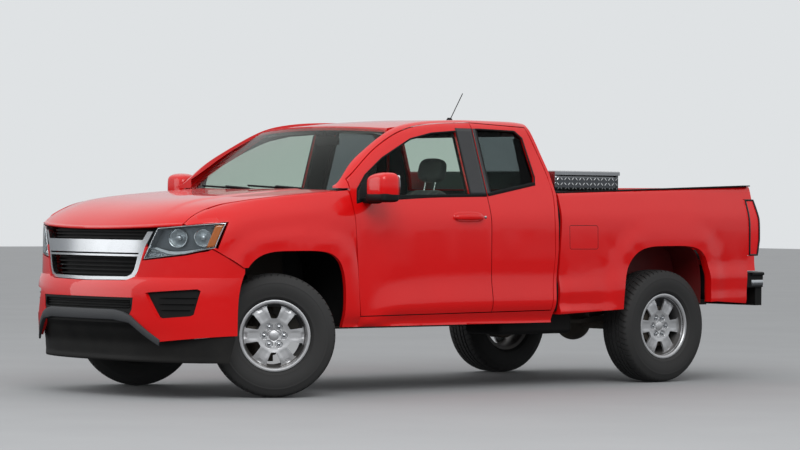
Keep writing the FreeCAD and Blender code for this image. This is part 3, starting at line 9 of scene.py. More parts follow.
import bmesh
import bpy
import numpy as np
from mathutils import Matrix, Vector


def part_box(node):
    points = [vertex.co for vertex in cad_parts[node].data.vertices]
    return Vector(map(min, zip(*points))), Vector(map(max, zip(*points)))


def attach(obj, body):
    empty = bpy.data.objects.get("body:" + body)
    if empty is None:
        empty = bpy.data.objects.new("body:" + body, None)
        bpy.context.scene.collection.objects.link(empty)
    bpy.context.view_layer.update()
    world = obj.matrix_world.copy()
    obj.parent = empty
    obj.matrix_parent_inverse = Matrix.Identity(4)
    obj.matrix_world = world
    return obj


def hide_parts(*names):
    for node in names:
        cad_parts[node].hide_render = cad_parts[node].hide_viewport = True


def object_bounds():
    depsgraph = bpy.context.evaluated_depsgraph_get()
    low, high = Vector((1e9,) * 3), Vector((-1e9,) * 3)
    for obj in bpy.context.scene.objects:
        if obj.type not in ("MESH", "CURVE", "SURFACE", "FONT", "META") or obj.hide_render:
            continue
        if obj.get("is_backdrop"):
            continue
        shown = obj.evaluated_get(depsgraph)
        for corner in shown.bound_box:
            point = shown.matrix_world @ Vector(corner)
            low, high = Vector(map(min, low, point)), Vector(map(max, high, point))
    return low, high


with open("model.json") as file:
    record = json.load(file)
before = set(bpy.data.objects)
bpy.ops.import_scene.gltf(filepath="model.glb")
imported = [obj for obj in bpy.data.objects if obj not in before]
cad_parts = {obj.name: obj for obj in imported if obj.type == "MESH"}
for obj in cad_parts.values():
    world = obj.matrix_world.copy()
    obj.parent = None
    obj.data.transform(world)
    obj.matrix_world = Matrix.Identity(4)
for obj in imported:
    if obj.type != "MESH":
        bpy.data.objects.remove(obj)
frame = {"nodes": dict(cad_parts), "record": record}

LOG = logging.getLogger("pickup_truck")
Array = np.ndarray
MM = 0.001
CAD_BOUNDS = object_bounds()


def linear(code: str) -> tuple[float, float, float, float]:
    """Turns a colour from sRGB hex to linear.

    Args:
        code: six hex digits after a hash sign.

    Returns:
        Red, green, blue and an alpha of one.
    """
    shares = [int(code[place:place + 2], 16) / 255 for place in (1, 3, 5)]
    return tuple(s / 12.92 if s <= 0.04045 else ((s + 0.055) / 1.055) ** 2.4 for s in shares) + (1.0,)


def add(tree: bpy.types.NodeTree, kind: str, inputs: Optional[dict] = None,
        **settings: Any) -> bpy.types.Node:
    """Adds one node with its settings and links.

    Args:
        tree: node tree that gets the node.
        kind: node type's identifier.
        inputs: a value or an output to link, by the input's name or number.
        settings: properties of the node itself.

    Returns:
        The new node.
    """
    made = tree.nodes.new(kind)
    for name, value in settings.items():
        setattr(made, name, value)
    for name, value in (inputs or {}).items():
        if isinstance(value, bpy.types.NodeSocket):
            tree.links.new(value, made.inputs[name])
        else:
            made.inputs[name].default_value = value
    return made


def calc(tree: bpy.types.NodeTree, operation: str, *values: Any) -> bpy.types.NodeSocket:
    """Adds a sum on numbers or outputs and gives its result."""
    return add(tree, "ShaderNodeMath", dict(enumerate(values)), operation=operation).outputs[0]


def blend(tree: bpy.types.NodeTree, share: bpy.types.NodeSocket, first: Any,
          second: Any) -> bpy.types.NodeSocket:
    """Mixes two colours by a share of the second."""
    return add(tree, "ShaderNodeMix", {0: share, 6: first, 7: second}, data_type="RGBA").outputs[2]


class Pattern(Enum):
    """How a finish's surface is broken up."""

    GRAIN = "grain"
    WEAVE = "weave"
    BRUSHED = "brushed"
    RIBS = "ribs"
    TREAD = "tread plate"


# Planes round the cab's inside in metres, each with its distance: side, windscreen, roof, back wall and sill
TRIM_PLANES = (((0.0, -1.0, -0.36), 1.31), ((-0.583, 0.0, -0.813), 1.755), ((0.0, 0.0, -1.0), 1.7),
               ((1.0, 0.0, 0.0), 0.445), ((1.0, 0.0, -0.3), 0.873), ((0.0, 0.0, 1.0), -1.15))
TRIM_COLOUR, DUST_COLOUR = "#1d1e20", "#8f867a"
DUST_TOP, DUST_FULL = 0.75, 0.2
BUMP_STRENGTH, LACQUER_ROUGHNESS, GLASS_IOR = 0.6, 0.03, 1.52
# Stripes in a wave texture's unit of scale
WAVE_UNIT = 6.3


@dataclass(frozen=True)
class Finish:
    """One material: colours as sRGB hex, lengths in millimetres, and the record's slot that it fills."""

    name: str
    colour: str
    shade: str
    roughness: float
    spread: float = 0.05
    patch_mm: float = 90.0
    grain_mm: float = 1.2
    relief_mm: float = 0.02
    metallic: float = 0.0
    coat: float = 0.0
    ior: float = 1.5
    sheen: float = 0.0
    dust: float = 0.0
    pattern: Pattern = Pattern.GRAIN
    axes: str = "XY"
    lined: bool = False
    slot: str = "black_plastic"

    def material(self) -> bpy.types.Material:
        """Gives the material, made once and shared."""
        made = bpy.data.materials.get(self.name)
        if made is None:
            made = bpy.data.materials.new(self.name)
            made.use_nodes = True
            made.node_tree.nodes.clear()
            self.build(made.node_tree)
        return made

    def tread(self, tree: bpy.types.NodeTree, place: bpy.types.NodeSocket) -> bpy.types.NodeSocket:
        """Builds tread plate: short raised bars, each square of the pattern turned from the next.

        Args:
            tree: node tree of the material.
            place: object coordinates in metres.

        Returns:
            The output that holds the height.
        """
        parts = add(tree, "ShaderNodeSeparateXYZ", {"Vector": place})
        first, second = (calc(tree, "MULTIPLY", parts.outputs[axis], 1000 / self.grain_mm)
                         for axis in self.axes)
        flat = add(tree, "ShaderNodeCombineXYZ", {"X": first, "Y": second, "Z": 0.5}).outputs[0]
        squares = add(tree, "ShaderNodeTexChecker", {"Vector": flat, "Scale": 1.0}).outputs["Fac"]
        local = add(tree, "ShaderNodeVectorMath", {0: flat}, operation="FRACTION").outputs[0]
        bars = []
        for turn in (45, -45):
            spun = add(tree, "ShaderNodeVectorRotate",
                       {"Vector": local, "Center": (0.5, 0.5, 0.0), "Angle": math.radians(turn)})
            shape = add(tree, "ShaderNodeMapping",
                        {"Vector": spun.outputs[0], "Location": (-1.05, -3.2, 0.0), "Scale": (2.1, 6.4, 0.0)})
            away = add(tree, "ShaderNodeVectorMath", {0: shape.outputs[0]},
                       operation="LENGTH").outputs["Value"]
            bar = add(tree, "ShaderNodeMapRange", {"Value": away, "From Min": 1.0, "From Max": 0.45})
            bars.append(bar.outputs[0])
        return add(tree, "ShaderNodeMix", {0: squares, 2: bars[0], 3: bars[1]}).outputs[0]

    def relief(self, tree: bpy.types.NodeTree, place: bpy.types.NodeSocket) -> bpy.types.NodeSocket:
        """Builds the height pattern.

        Args:
            tree: node tree of the material.
            place: object coordinates in metres.

        Returns:
            The output that holds the height.
        """
        scale = 1000 / self.grain_mm
        if self.pattern is Pattern.TREAD:
            return self.tread(tree, place)
        if self.pattern is Pattern.WEAVE:
            shape = {"Vector": place, "Scale": scale / WAVE_UNIT, "Distortion": 0.4}
            waves = [add(tree, "ShaderNodeTexWave", shape, bands_direction=axis).outputs["Fac"]
                     for axis in ("Y", "Z")]
            return calc(tree, "MAXIMUM", *waves)
        if self.pattern is Pattern.RIBS:
            return add(tree, "ShaderNodeTexWave", {"Vector": place, "Scale": scale / WAVE_UNIT},
                       bands_direction="Y").outputs["Fac"]
        if self.pattern is Pattern.BRUSHED:
            place = add(tree, "ShaderNodeMapping", {"Vector": place, "Scale": (1.0, 0.04, 1.0)}).outputs[0]
        noise = add(tree, "ShaderNodeTexNoise", {"Vector": place, "Scale": scale, "Detail": 3.0})
        return noise.outputs["Fac"]

    def lining(self, tree: bpy.types.NodeTree, place: bpy.types.NodeSocket) -> bpy.types.NodeSocket:
        """Finds the inner faces of the window frames and pillars, which have trim instead of paint.

        Args:
            tree: node tree of the material.
            place: object coordinates in metres.

        Returns:
            The output that is 1 on trim and 0 on paint.
        """
        parts = add(tree, "ShaderNodeSeparateXYZ", {"Vector": place})
        across = calc(tree, "ABSOLUTE", parts.outputs["Y"])
        folded = add(tree, "ShaderNodeCombineXYZ",
                     {"X": parts.outputs["X"], "Y": across, "Z": parts.outputs["Z"]})
        depth = None
        for normal, offset in TRIM_PLANES:
            along = add(tree, "ShaderNodeVectorMath", {0: folded.outputs[0], 1: normal},
                        operation="DOT_PRODUCT")
            away = calc(tree, "ADD", along.outputs["Value"], offset)
            depth = away if depth is None else calc(tree, "MINIMUM", depth, away)
        return calc(tree, "GREATER_THAN", depth, 0.0)

    def build(self, tree: bpy.types.NodeTree) -> None:
        """Builds the surface: patches of shade, a spread of gloss, dust low down and a fine relief."""
        place = add(tree, "ShaderNodeTexCoord").outputs["Object"]
        patches = add(tree, "ShaderNodeTexNoise",
                      {"Vector": place, "Scale": 1000 / self.patch_mm, "Detail": 4.0}).outputs["Fac"]
        colour = blend(tree, patches, linear(self.colour), linear(self.shade))
        low, high = max(self.roughness - self.spread, 0.0), min(self.roughness + self.spread, 1.0)
        gloss = add(tree, "ShaderNodeMapRange", {"Value": patches, "To Min": low, "To Max": high})
        if self.dust:
            height = add(tree, "ShaderNodeSeparateXYZ", {"Vector": place}).outputs["Z"]
            film = add(tree, "ShaderNodeMapRange",
                       {"Value": height, "From Min": DUST_TOP, "From Max": DUST_FULL, "To Max": self.dust})
            dusty = calc(tree, "MULTIPLY", film.outputs[0], patches)
            colour = blend(tree, dusty, colour, linear(DUST_COLOUR))
        height = self.relief(tree, place)
        # Tread plate: colour follows the relief, a painted highlight on the raised bars and painted shade on
        # the plate between them
        if self.pattern is Pattern.TREAD:
            colour = blend(tree, height, linear(self.shade), linear(self.colour))
        bump = add(tree, "ShaderNodeBump",
                   {"Height": height, "Distance": self.relief_mm * MM, "Strength": BUMP_STRENGTH})
        coat = self.coat
        if self.lined:
            trim = self.lining(tree, place)
            colour = blend(tree, trim, colour, linear(TRIM_COLOUR))
            coat = add(tree, "ShaderNodeMapRange",
                       {"Value": trim, "To Min": self.coat, "To Max": 0.0}).outputs[0]
        shader = add(tree, "ShaderNodeBsdfPrincipled", {
            "Base Color": colour, "Roughness": gloss.outputs[0], "Metallic": self.metallic,
            "Coat Weight": coat, "Coat Roughness": LACQUER_ROUGHNESS, "IOR": self.ior,
            "Sheen Weight": self.sheen, "Normal": bump.outputs[0]})
        add(tree, "ShaderNodeOutputMaterial", {"Surface": shader.outputs[0]})


@dataclass(frozen=True)
class Glazing(Finish):
    """Tinted laminated or tempered glass: clear, with a cast colour and a mirror-like skin."""

    clear: float = 0.35
    rim_power: float = 5.0
    rim_share: float = 0.9

    def build(self, tree: bpy.types.NodeTree) -> None:
        """Builds a thin pane: a tinted see-through part under a sharp reflection."""
        tint = add(tree, "ShaderNodeBsdfTransparent", {"Color": linear(self.colour)})
        skin = add(tree, "ShaderNodeBsdfPrincipled", {
            "Base Color": linear(self.shade), "Roughness": self.roughness, "IOR": GLASS_IOR,
            "Coat Weight": 1.0, "Coat Roughness": 0.01})
        facing = add(tree, "ShaderNodeLayerWeight", {"Blend": 0.5}).outputs["Facing"]
        rim = calc(tree, "POWER", facing, self.rim_power)
        share = add(tree, "ShaderNodeMath", {0: rim, 1: self.rim_share, 2: 1 - self.clear},
                    operation="MULTIPLY_ADD")
        share.use_clamp = True
        mixed = add(tree, "ShaderNodeMixShader",
                    {0: share.outputs[0], 1: tint.outputs[0], 2: skin.outputs[0]})
        add(tree, "ShaderNodeOutputMaterial", {"Surface": mixed.outputs[0]})


# Basecoat and clear lacquer on steel: deep, with a sharp reflection over a soft one
PAINT = Finish("red_basecoat_lacquer", "#d20a0c", "#c8080a", 0.34, 0.03, 400, 0.8, 0.004, coat=0.75, ior=1.25,
               dust=0.04, slot="body_paint")
# The same paint on the cab and doors, with trim on the inner faces of the window frames
CAB_PAINT = replace(PAINT, name="red_lacquer_with_trim", lined=True)
# Moulded polypropylene: matte, with a fine leather-like grain, drawn coarser than real to show
MOULDED = Finish("moulded_polypropylene_black", "#090a0b", "#0f1011", 0.6, 0.08, 120, 1.6, 0.06, ior=1.32,
                 dust=0.04)
# Black moulded plastic drawn dark grey: a painted highlight for the light falling on the lower cover's proud
# top face
MOULDED_PAINTED_HIGHLIGHT = Finish("black_polypropylene_painted_highlight", "#2c2e31", "#35373a", 0.55, 0.06, 120, 1.6, 0.06)
# Smooth acrylic and the film on the pillars
GLOSS_BLACK = Finish("black_gloss_acrylic", "#0b0c0d", "#101113", 0.12, 0.04, 200, 2.0, 0.004)
PILLAR_FILM = Finish("satin_black_film", "#1d1f22", "#26282b", 0.35, 0.05, 120, 2.0, 0.01)
# Bright plating on plastic, and metallised lamp parts
CHROME = Finish("chromed_abs", "#cdd0d3", "#c3c6c9", 0.24, 0.03, 150, 4.0, 0.004, metallic=1.0,
                slot="bright_trim")
REFLECTOR = Finish("vacuum_metallised_reflector", "#eceeef", "#dfe2e4", 0.22, 0.06, 60, 2.0, 0.01,
                   metallic=1.0, slot="bright_trim")
BEZEL = Finish("metallised_lamp_housing", "#8b8e92", "#77797d", 0.3, 0.06, 60, 1.5, 0.01, metallic=0.7)
MIRROR_GLASS = Finish("silvered_glass", "#d5dadc", "#cdd3d6", 0.03, 0.01, 200, 4.0, 0.001, metallic=1.0,
                      slot="glass")
# Wheels and brakes: lacquered face, bare barrel, turned disc, and rubber
ALLOY = Finish("silver_lacquered_cast_aluminium", "#d3d4d6", "#c5c7ca", 0.36, 0.05, 60, 0.7, 0.01,
               metallic=0.7, coat=0.5, dust=0.2, slot="wheel_alloy")
BARREL = Finish("bare_cast_aluminium", "#6f7073", "#5f6063", 0.5, 0.1, 60, 1.5, 0.05, metallic=0.8, dust=0.5,
                slot="wheel_alloy")
DISC = Finish("turned_grey_iron", "#8d8b88", "#7d7a76", 0.35, 0.08, 40, 0.8, 0.02, metallic=0.9,
              slot="cast_parts")
SIDEWALL = Finish("tyre_rubber", "#050506", "#09090a", 0.88, 0.06, 70, 1.2, 0.05, ior=1.2, dust=0.02,
                  slot="tyre_rubber")
# Chassis metals
CAST = Finish("cast_iron", "#3a3734", "#4b443c", 0.7, 0.12, 40, 2.0, 0.12, metallic=0.4, dust=0.4)
WAXED = Finish("black_waxed_frame_paint", "#131414", "#1d1c1b", 0.55, 0.12, 90, 3.0, 0.06, dust=0.5)
STEEL = Finish("exhaust_steel", "#6d675f", "#57524c", 0.5, 0.12, 60, 2.0, 0.05, metallic=0.8, dust=0.4)
PLATE = Finish("bare_painted_steel", "#c7c9cb", "#bfc1c3", 0.4, 0.05, 80, 2.0, 0.01, metallic=0.2,
               slot="bumper_paint")
# Toolbox: brushed sheet, and rolled tread plate with its bars 34 mm apart; on the plate the bars are drawn
# near white as a painted highlight and the plate between them dark grey as painted shade
MILL = Finish("mill_finish_aluminium", "#c3c5c7", "#b2b4b7", 0.3, 0.08, 60, 1.0, 0.02, metallic=1.0,
              pattern=Pattern.BRUSHED)
TREAD_TOP = Finish("tread_plate_top", "#f2f3f4", "#6a6d70", 0.22, 0.06, 60, 34.0, 2.2, metallic=1.0,
                   pattern=Pattern.TREAD, slot="aluminium")
TREAD_END = replace(TREAD_TOP, name="tread_plate_end", axes="XZ")
TREAD_BACK = replace(TREAD_TOP, name="tread_plate_back", axes="YZ")
# Cab and bed linings
CLOTH = Finish("woven_seat_cloth", "#5a5b5e", "#4c4d50", 0.9, 0.05, 50, 2.4, 0.25, sheen=0.4,
               pattern=Pattern.WEAVE, slot="seat_fabric")
DASH = Finish("slush_moulded_vinyl", "#2b2c2e", "#242527", 0.7, 0.06, 80, 1.8, 0.015, slot="interior_plastic")
TRIM = Finish("grained_trim_panel", "#3d3e41", "#333437", 0.72, 0.06, 90, 1.8, 0.015, slot="interior_plastic")
CARPET = Finish("needled_carpet", "#26272a", "#1c1d1f", 0.95, 0.03, 30, 3.0, 0.6, sheen=0.3)
HEADLINER = Finish("knitted_headliner", "#9a9b9c", "#8c8d8f", 0.95, 0.03, 50, 2.0, 0.02, sheen=0.3,
                   slot="floor_covering")
LINING = Finish("bed_paint_scuffed", "#6d0f12", "#5b0d10", 0.5, 0.12, 70, 2.0, 0.05, dust=0.4,
                slot="bed_lining")
# Lenses and glass
RED_LENS = Finish("red_acrylic_lens", "#e2040a", "#cc0308", 0.2, 0.04, 40, 9.0, 0.2, coat=0.6, ior=1.3,
                  pattern=Pattern.RIBS)
AMBER_LENS = Finish("amber_acrylic_lens", "#d9700f", "#c8620b", 0.15, 0.04, 40, 3.0, 0.03, coat=1.0,
                    pattern=Pattern.RIBS, slot="lamp_lens")
CLEAR_LENS = Glazing("clear_polycarbonate_lens", "#f4f7f8", "#8e9498", 0.05, clear=0.96, slot="lamp_lens")
GREEN_GLASS = Glazing("green_tinted_glass", "#edf3ef", "#0a0d0c", 0.02, clear=0.955)
DARK_GLASS = Glazing("privacy_glass", "#a8adb0", "#07090a", 0.02, clear=0.955)
# The studio's floor
CONCRETE = Finish("pale_concrete", "#9a9c9e", "#939597", 0.8, 0.05, 900, 4.0, 0.1)

CAD_FINISHES: dict[str, Finish] = {
    "body_paint": PAINT, "bed_lining": LINING, "floor_covering": CARPET, "glass": GREEN_GLASS,
    "interior_plastic": DASH, "seat_fabric": CLOTH, "cast_parts": CAST, "exhaust_steel": STEEL,
    "black_plastic": MOULDED, "bright_trim": CHROME, "lamp_lens": CLEAR_LENS, "red_lens": RED_LENS,
    "frame_paint": WAXED, "bumper_paint": MOULDED, "aluminium": MILL, "wheel_alloy": ALLOY,
    "tyre_rubber": SIDEWALL,
}


# Meshes: every piece is a grid of points in millimetres, or a profile swept into one

CREASE_ANGLE, BEVEL_ANGLE, DOUBLED = 32.0, 35.0, 0.01


@dataclass(frozen=True)
class Belongs:
    """Where a piece belongs: the body it moves with, the CAD nodes it stands for, its side and its slot."""

    body: str = "chassis"
    nodes: tuple[str, ...] = ()
    mirrored: bool = False
    slot: str = ""


def surface(name: str, points: Array, wrap: tuple[bool, bool] = (False, False), keep: Optional[Array] = None,
            facing: Optional[Sequence[float]] = None, capped: bool = False) -> bpy.types.Object:
    """Makes an object from a grid of points.

    Args:
        name: the piece's name.
        points: rows, columns and three coordinates in millimetres.
        wrap: whether the last row or column joins the first.
        keep: which of the grid's faces to keep.
        facing: direction that an open sheet looks in; a closed form gets its outside from its shape.
        capped: whether the first and last rows are loops to be filled.

    Returns:
        The linked object, smooth with sharp creases.
    """
    rows, columns = points.shape[:2]
    numbers = np.arange(rows * columns).reshape(rows, columns)
    if wrap[0]:
        numbers = np.vstack([numbers, numbers[:1]])
    if wrap[1]:
        numbers = np.hstack([numbers, numbers[:, :1]])
    quads = np.stack([numbers[:-1, :-1], numbers[1:, :-1], numbers[1:, 1:], numbers[:-1, 1:]], axis=-1)
    quads = quads.reshape(-1, 4) if keep is None else quads[keep]
    faces = quads.tolist()
    if capped:
        faces += [numbers[0, :columns].tolist(), numbers[-1, :columns][::-1].tolist()]
    data = bpy.data.meshes.new(name)
    data.from_pydata((points.reshape(-1, 3) * MM).tolist(), [], faces)
    if facing is not None:
        normals = np.zeros(len(faces) * 3)
        data.polygons.foreach_get("normal", normals)
        if (normals.reshape(-1, 3) @ np.array(facing, float)).sum() < 0:
            data.flip_normals()
    made = bpy.data.objects.new(name, data)
    bpy.context.scene.collection.objects.link(made)
    if facing is None:
        tidy_outside(data)
    data.shade_smooth()
    data.set_sharp_from_angle(angle=math.radians(CREASE_ANGLE))
    return made


def tidy_outside(data: bpy.types.Mesh) -> None:
    """Joins doubled points and turns a closed form's faces outwards."""
    form = bmesh.new()
    form.from_mesh(data)
    bmesh.ops.remove_doubles(form, verts=form.verts, dist=DOUBLED * MM)
    bmesh.ops.recalc_face_normals(form, faces=form.faces)
    loose = [point for point in form.verts if not point.link_faces]
    bmesh.ops.delete(form, geom=loose, context="VERTS")
    form.to_mesh(data)
    form.free()


def settle(piece: bpy.types.Object, finish: Finish, belongs: Belongs, thick: float = 0.0,
           bevel: float = 0.0) -> bpy.types.Object:
    """Finishes a piece, puts it on its body and hides the CAD nodes that it stands for.

    Args:
        piece: the object.
        finish: its material.
        belongs: its body, slot and the CAD nodes that it stands for.
        thick: wall in millimetres given to an open sheet, inwards.
        bevel: rounding of its sharp edges in millimetres.

    Returns:
        The same object.
    """
    if thick:
        wall = piece.modifiers.new("wall", "SOLIDIFY")
        wall.thickness, wall.offset, wall.use_even_offset = thick * MM, -1.0, True
    if bevel:
        edge = piece.modifiers.new("edge", "BEVEL")
        edge.width, edge.segments, edge.limit_method = bevel * MM, 2, "ANGLE"
        edge.angle_limit, edge.harden_normals = math.radians(BEVEL_ANGLE), True
    piece.data.materials.append(finish.material())
    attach(piece, belongs.body)
    belongs.slot or finish.slot
    if belongs.nodes:
        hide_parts(*belongs.nodes)
    return piece


def hand(points: Array, mirrored: bool) -> Array:
    """Gives a left piece's points for one side of the truck."""
    return points * (1, -1, 1) if mirrored else points


def closed(name: str, points: Array, finish: Finish, belongs: Belongs = Belongs(), ring: bool = False,
           bevel: float = 0.0) -> None:
    """Adds a closed form, its rows rings of points.

    Args:
        name: the piece's name.
        points: grid of points in millimetres, on the truck's left where it has a twin.
        finish: its material.
        belongs: its body, CAD nodes, side and slot.
        ring: joins the first and last row instead of capping them.
        bevel: rounding of its sharp edges in millimetres.
    """
    made = surface(name, hand(points, belongs.mirrored), wrap=(ring, True), capped=not ring)
    settle(made, finish, belongs, bevel=bevel)


def sheet(name: str, points: Array, finish: Finish, looks: Sequence[float], thick: float,
          belongs: Belongs = Belongs(), bevel: float = 0.0, **options: Any) -> None:
    """Adds an open sheet and gives it a wall inwards.

    Args:
        name: the piece's name.
        points: grid of points in millimetres, on the truck's left where it has a twin.
        finish: its material.
        looks: direction that its outer face looks in, on the same side.
        thick: its wall in millimetres.
        belongs: its body, CAD nodes, side and slot.
        bevel: rounding of its sharp edges in millimetres.
        options: what else the surface takes, such as wrap and keep.
    """
    facing = hand(np.array(looks), belongs.mirrored)
    made = surface(name, hand(points, belongs.mirrored), facing=facing, **options)
    settle(made, finish, belongs, thick, bevel)


def grid(first: Array, second: Array) -> tuple[Array, Array]:
    """Spreads two rows of numbers into the rows and columns of a grid."""
    return np.meshgrid(np.asarray(first, float), np.asarray(second, float), indexing="ij")


def stack(x: Array, y: Array, z: Array) -> Array:
    """Joins three grids of coordinates into one grid of points."""
    return np.stack(np.broadcast_arrays(x, y, z), axis=-1)


def revolve(outline: Sequence[tuple[float, float]], columns: int) -> Array:
    """Turns an outline about the Y axis.

    Args:
        outline: (y, radius) pairs.
        columns: places round the turn.

    Returns:
        Grid of points; its last column joins its first.
    """
    along, radius = np.array(outline, float).T
    turn = np.arange(columns) * 2 * math.pi / columns
    return stack(radius[:, None] * np.sin(turn), along[:, None] + 0 * turn, radius[:, None] * np.cos(turn))


def sweep(path: Array, outline: Array, up: Sequence[float] = (0, 0, 1)) -> Array:
    """Carries a flat outline along a path.

    Args:
        path: points along the way.
        outline: (across, up) pairs round the section.
        up: direction that the section's second axis leans to.

    Returns:
        Grid with a row for each point of the path and a closed column round the section.
    """
    path = np.asarray(path, float)
    ahead = np.gradient(path, axis=0)
    ahead /= np.linalg.norm(ahead, axis=1, keepdims=True)
    across = np.cross(ahead, up)
    across /= np.linalg.norm(across, axis=1, keepdims=True)
    top = np.cross(across, ahead)
    outline = np.asarray(outline, float)
    return path[:, None] + across[:, None] * outline[None, :, :1] + top[:, None] * outline[None, :, 1:]


def rounded(width: float, height: float, power: float = 4.0, count: int = 16) -> Array:
    """Outline of a rounded rectangle as (across, up) pairs."""
    turn = np.arange(count) * 2 * math.pi / count
    cosine, sine = np.cos(turn), np.sin(turn)
    return np.stack([np.sign(cosine) * np.abs(cosine) ** (2 / power) * width / 2,
                     np.sign(sine) * np.abs(sine) ** (2 / power) * height / 2], axis=-1)


def solid_box(centre: Sequence[float], size: Sequence[float], power: float = 5.0, rows: int = 13,
              columns: int = 32) -> Array:
    """Closed form of a box with well rounded edges.

    Args:
        centre: its middle.
        size: its three sides.
        power: how square it is.
        rows: rows from end to end along Z.
        columns: places round it.

    Returns:
        Grid whose columns wrap and whose first and last rows are small loops to be capped.
    """
    rise = np.linspace(-0.998, 0.998, rows) * math.pi / 2
    turn = np.arange(columns) * 2 * math.pi / columns
    ring = np.abs(np.cos(rise)) ** (2 / power)
    high = np.sign(np.sin(rise)) * np.abs(np.sin(rise)) ** (2 / power)
    x = ring[:, None] * np.sign(np.cos(turn)) * np.abs(np.cos(turn)) ** (2 / power)
    y = ring[:, None] * np.sign(np.sin(turn)) * np.abs(np.sin(turn)) ** (2 / power)
    unit = stack(x, y, high[:, None] + 0 * x)
    return unit * np.array(size) / 2 + np.array(centre)


def turned(points: Array, degrees: float, about: Sequence[float] = (0, 0, 1)) -> Array:
    """Turns points about an axis through the origin."""
    return points @ np.array(Matrix.Rotation(math.radians(degrees), 3, Vector(about))).T


# Forms of the body, as in the construction: half widths and heights in millimetres

FRONT_AXLE, WHEELBASE, TYRE_RADIUS = 1756.5, 3258.0, 383.0
NOSE_START, NOSE_REACH, NOSE_HALF_WIDTH, NOSE_POWER = 300.0, 645.0, 940.0, 2.4
NOSE_UPPER = ((700, 40), (1060, 46))
NOSE_LOWER = ((225, 40), (330, 14), (480, 0), (640, 0), (690, 5), (742, 30))
SIDE_HALF, TUMBLEHOME, SHOULDER_Z, SILL_Z = 929.0, 0.36, 1120.0, 521.0
HOOD_HALF, HOOD_RISE, HOOD_BEND = 825.0, 147.0, 158.0
ARCH_REACH, ARCH_LEAD, ARCH_SWEEP, ARCH_LIP = 407.0, 1.08, 94.0, 13.0
ARCH_FRONT_RISE, ARCH_REAR_RISE = 523.0, 547.0
ARCH_FRONT_POWER, ARCH_REAR_POWER = 3.5, 5.0
# Heights of the roof's middle and shares of the hood's half width, by distance from the front axle
ROOF_LINE = ((940, 1706), (1060, 1722), (1250, 1741), (1500, 1757), (1800, 1766), (2100, 1768), (2170, 1760))
HOOD_SEAM = ((-330, 1.03), (-90, 1.025), (200, 1.0), (340, 0.968), (450, 0.925), (560, 0.9), (760, 0.893))


def between(value: Array, places: Sequence[tuple[float, float]]) -> Array:
    """Reads a line through (place, value) pairs."""
    return np.interp(value, *np.array(places, float).T)


def ease(share: Array) -> Array:
    """Smooth step from 0 to 1."""
    share = np.clip(share, 0, 1)
    return share * share * (3 - 2 * share)


def knee(value: Array, width: float) -> Array:
    """Zero below the knee, rising by one for one above it."""
    return width * np.log1p(np.exp(np.clip(value / width, -30, 30)))


def nose_ahead(across: Array, setback: Array = 0.0) -> Array:
    """Distance ahead of the front axle of the nose's rounded plan at a half width."""
    share = np.clip(np.abs(across) / NOSE_HALF_WIDTH, 0, 0.9999)
    return NOSE_START + (NOSE_REACH - setback) * (1 - share ** NOSE_POWER) ** (1 / NOSE_POWER)


def nose_place(across: Array, z: Array, inward: Array = 0.0,
               line: Sequence[tuple[float, float]] = NOSE_UPPER) -> Array:
    """Places on the nose at a half width and height, moved inwards along the plan's normal."""
    across, z, inward = np.broadcast_arrays(np.asarray(across, float), z, inward)
    setback = between(z, line)
    width = np.minimum(np.abs(across), NOSE_HALF_WIDTH - 2)
    ahead = nose_ahead(width, setback)
    slope = (nose_ahead(width + 1, setback) - nose_ahead(np.maximum(width - 1, 0), setback)) / 2
    length = np.hypot(1, slope)
    y = np.where(across < 0, -1, 1) * (width + inward * slope / length)
    return stack(FRONT_AXLE + ahead - inward / length, y, z)


def crease_height(x: Array) -> Array:
    """Height of the lower body crease along the side."""
    back = FRONT_AXLE - x
    return 655 + 0.0496 * (back - 860) - 62 * ease((900 - back) / 380)


def flare_out(x: Array, z: Array) -> Array:
    """How far the arches' lips stand out."""
    out = np.zeros(np.broadcast(x, z).shape)
    for shift, rise in ((0.0, ARCH_FRONT_RISE), (WHEELBASE, ARCH_REAR_RISE)):
        ahead, up = x - FRONT_AXLE + shift, z - TYRE_RADIUS
        power = np.where(ahead > 0, ARCH_FRONT_POWER, ARCH_REAR_POWER)
        swept = ARCH_SWEEP * np.clip(0.62 - up / ARCH_FRONT_RISE, 0, 1)
        reach = np.where(ahead > 0, ARCH_REACH * ARCH_LEAD + swept, ARCH_REACH)
        ring = (np.abs(ahead / reach) ** power + (np.maximum(up, 0) / rise) ** power) ** (1 / power)
        out = np.maximum(out, ARCH_LIP * ease((1.30 - ring) / 0.16))
    return out


def side(x: Array, z: Array) -> Array:
    """Half width of the body side, below the roof's rounding."""
    x, z = np.broadcast_arrays(np.asarray(x, float), np.asarray(z, float))
    ahead = x - FRONT_AXLE
    share = np.clip((ahead - NOSE_START) / NOSE_REACH, 0, 0.9999)
    nose = NOSE_HALF_WIDTH * (1 - share ** NOSE_POWER) ** (1 / NOSE_POWER)
    plan = np.where(ahead > NOSE_START - 150, np.minimum(SIDE_HALF, nose), SIDE_HALF)
    taper = 20 * ease((-ahead - 3300) / (WHEELBASE - FRONT_AXLE))
    kick = 13 * ease((crease_height(x) - z) / 62) * ease((-ahead - 430) / 300)
    lean = TUMBLEHOME * knee(z - SHOULDER_Z, 26) + TUMBLEHOME * knee(SILL_Z - z, 16)
    return plan - taper - lean + kick + flare_out(x, z)


def roof_top(x: Array, y: Array) -> Array:
    """Height of the roof: highest behind the middle, crowned across."""
    return between(FRONT_AXLE - x, ROOF_LINE) - 26 * (y / 628) ** 2


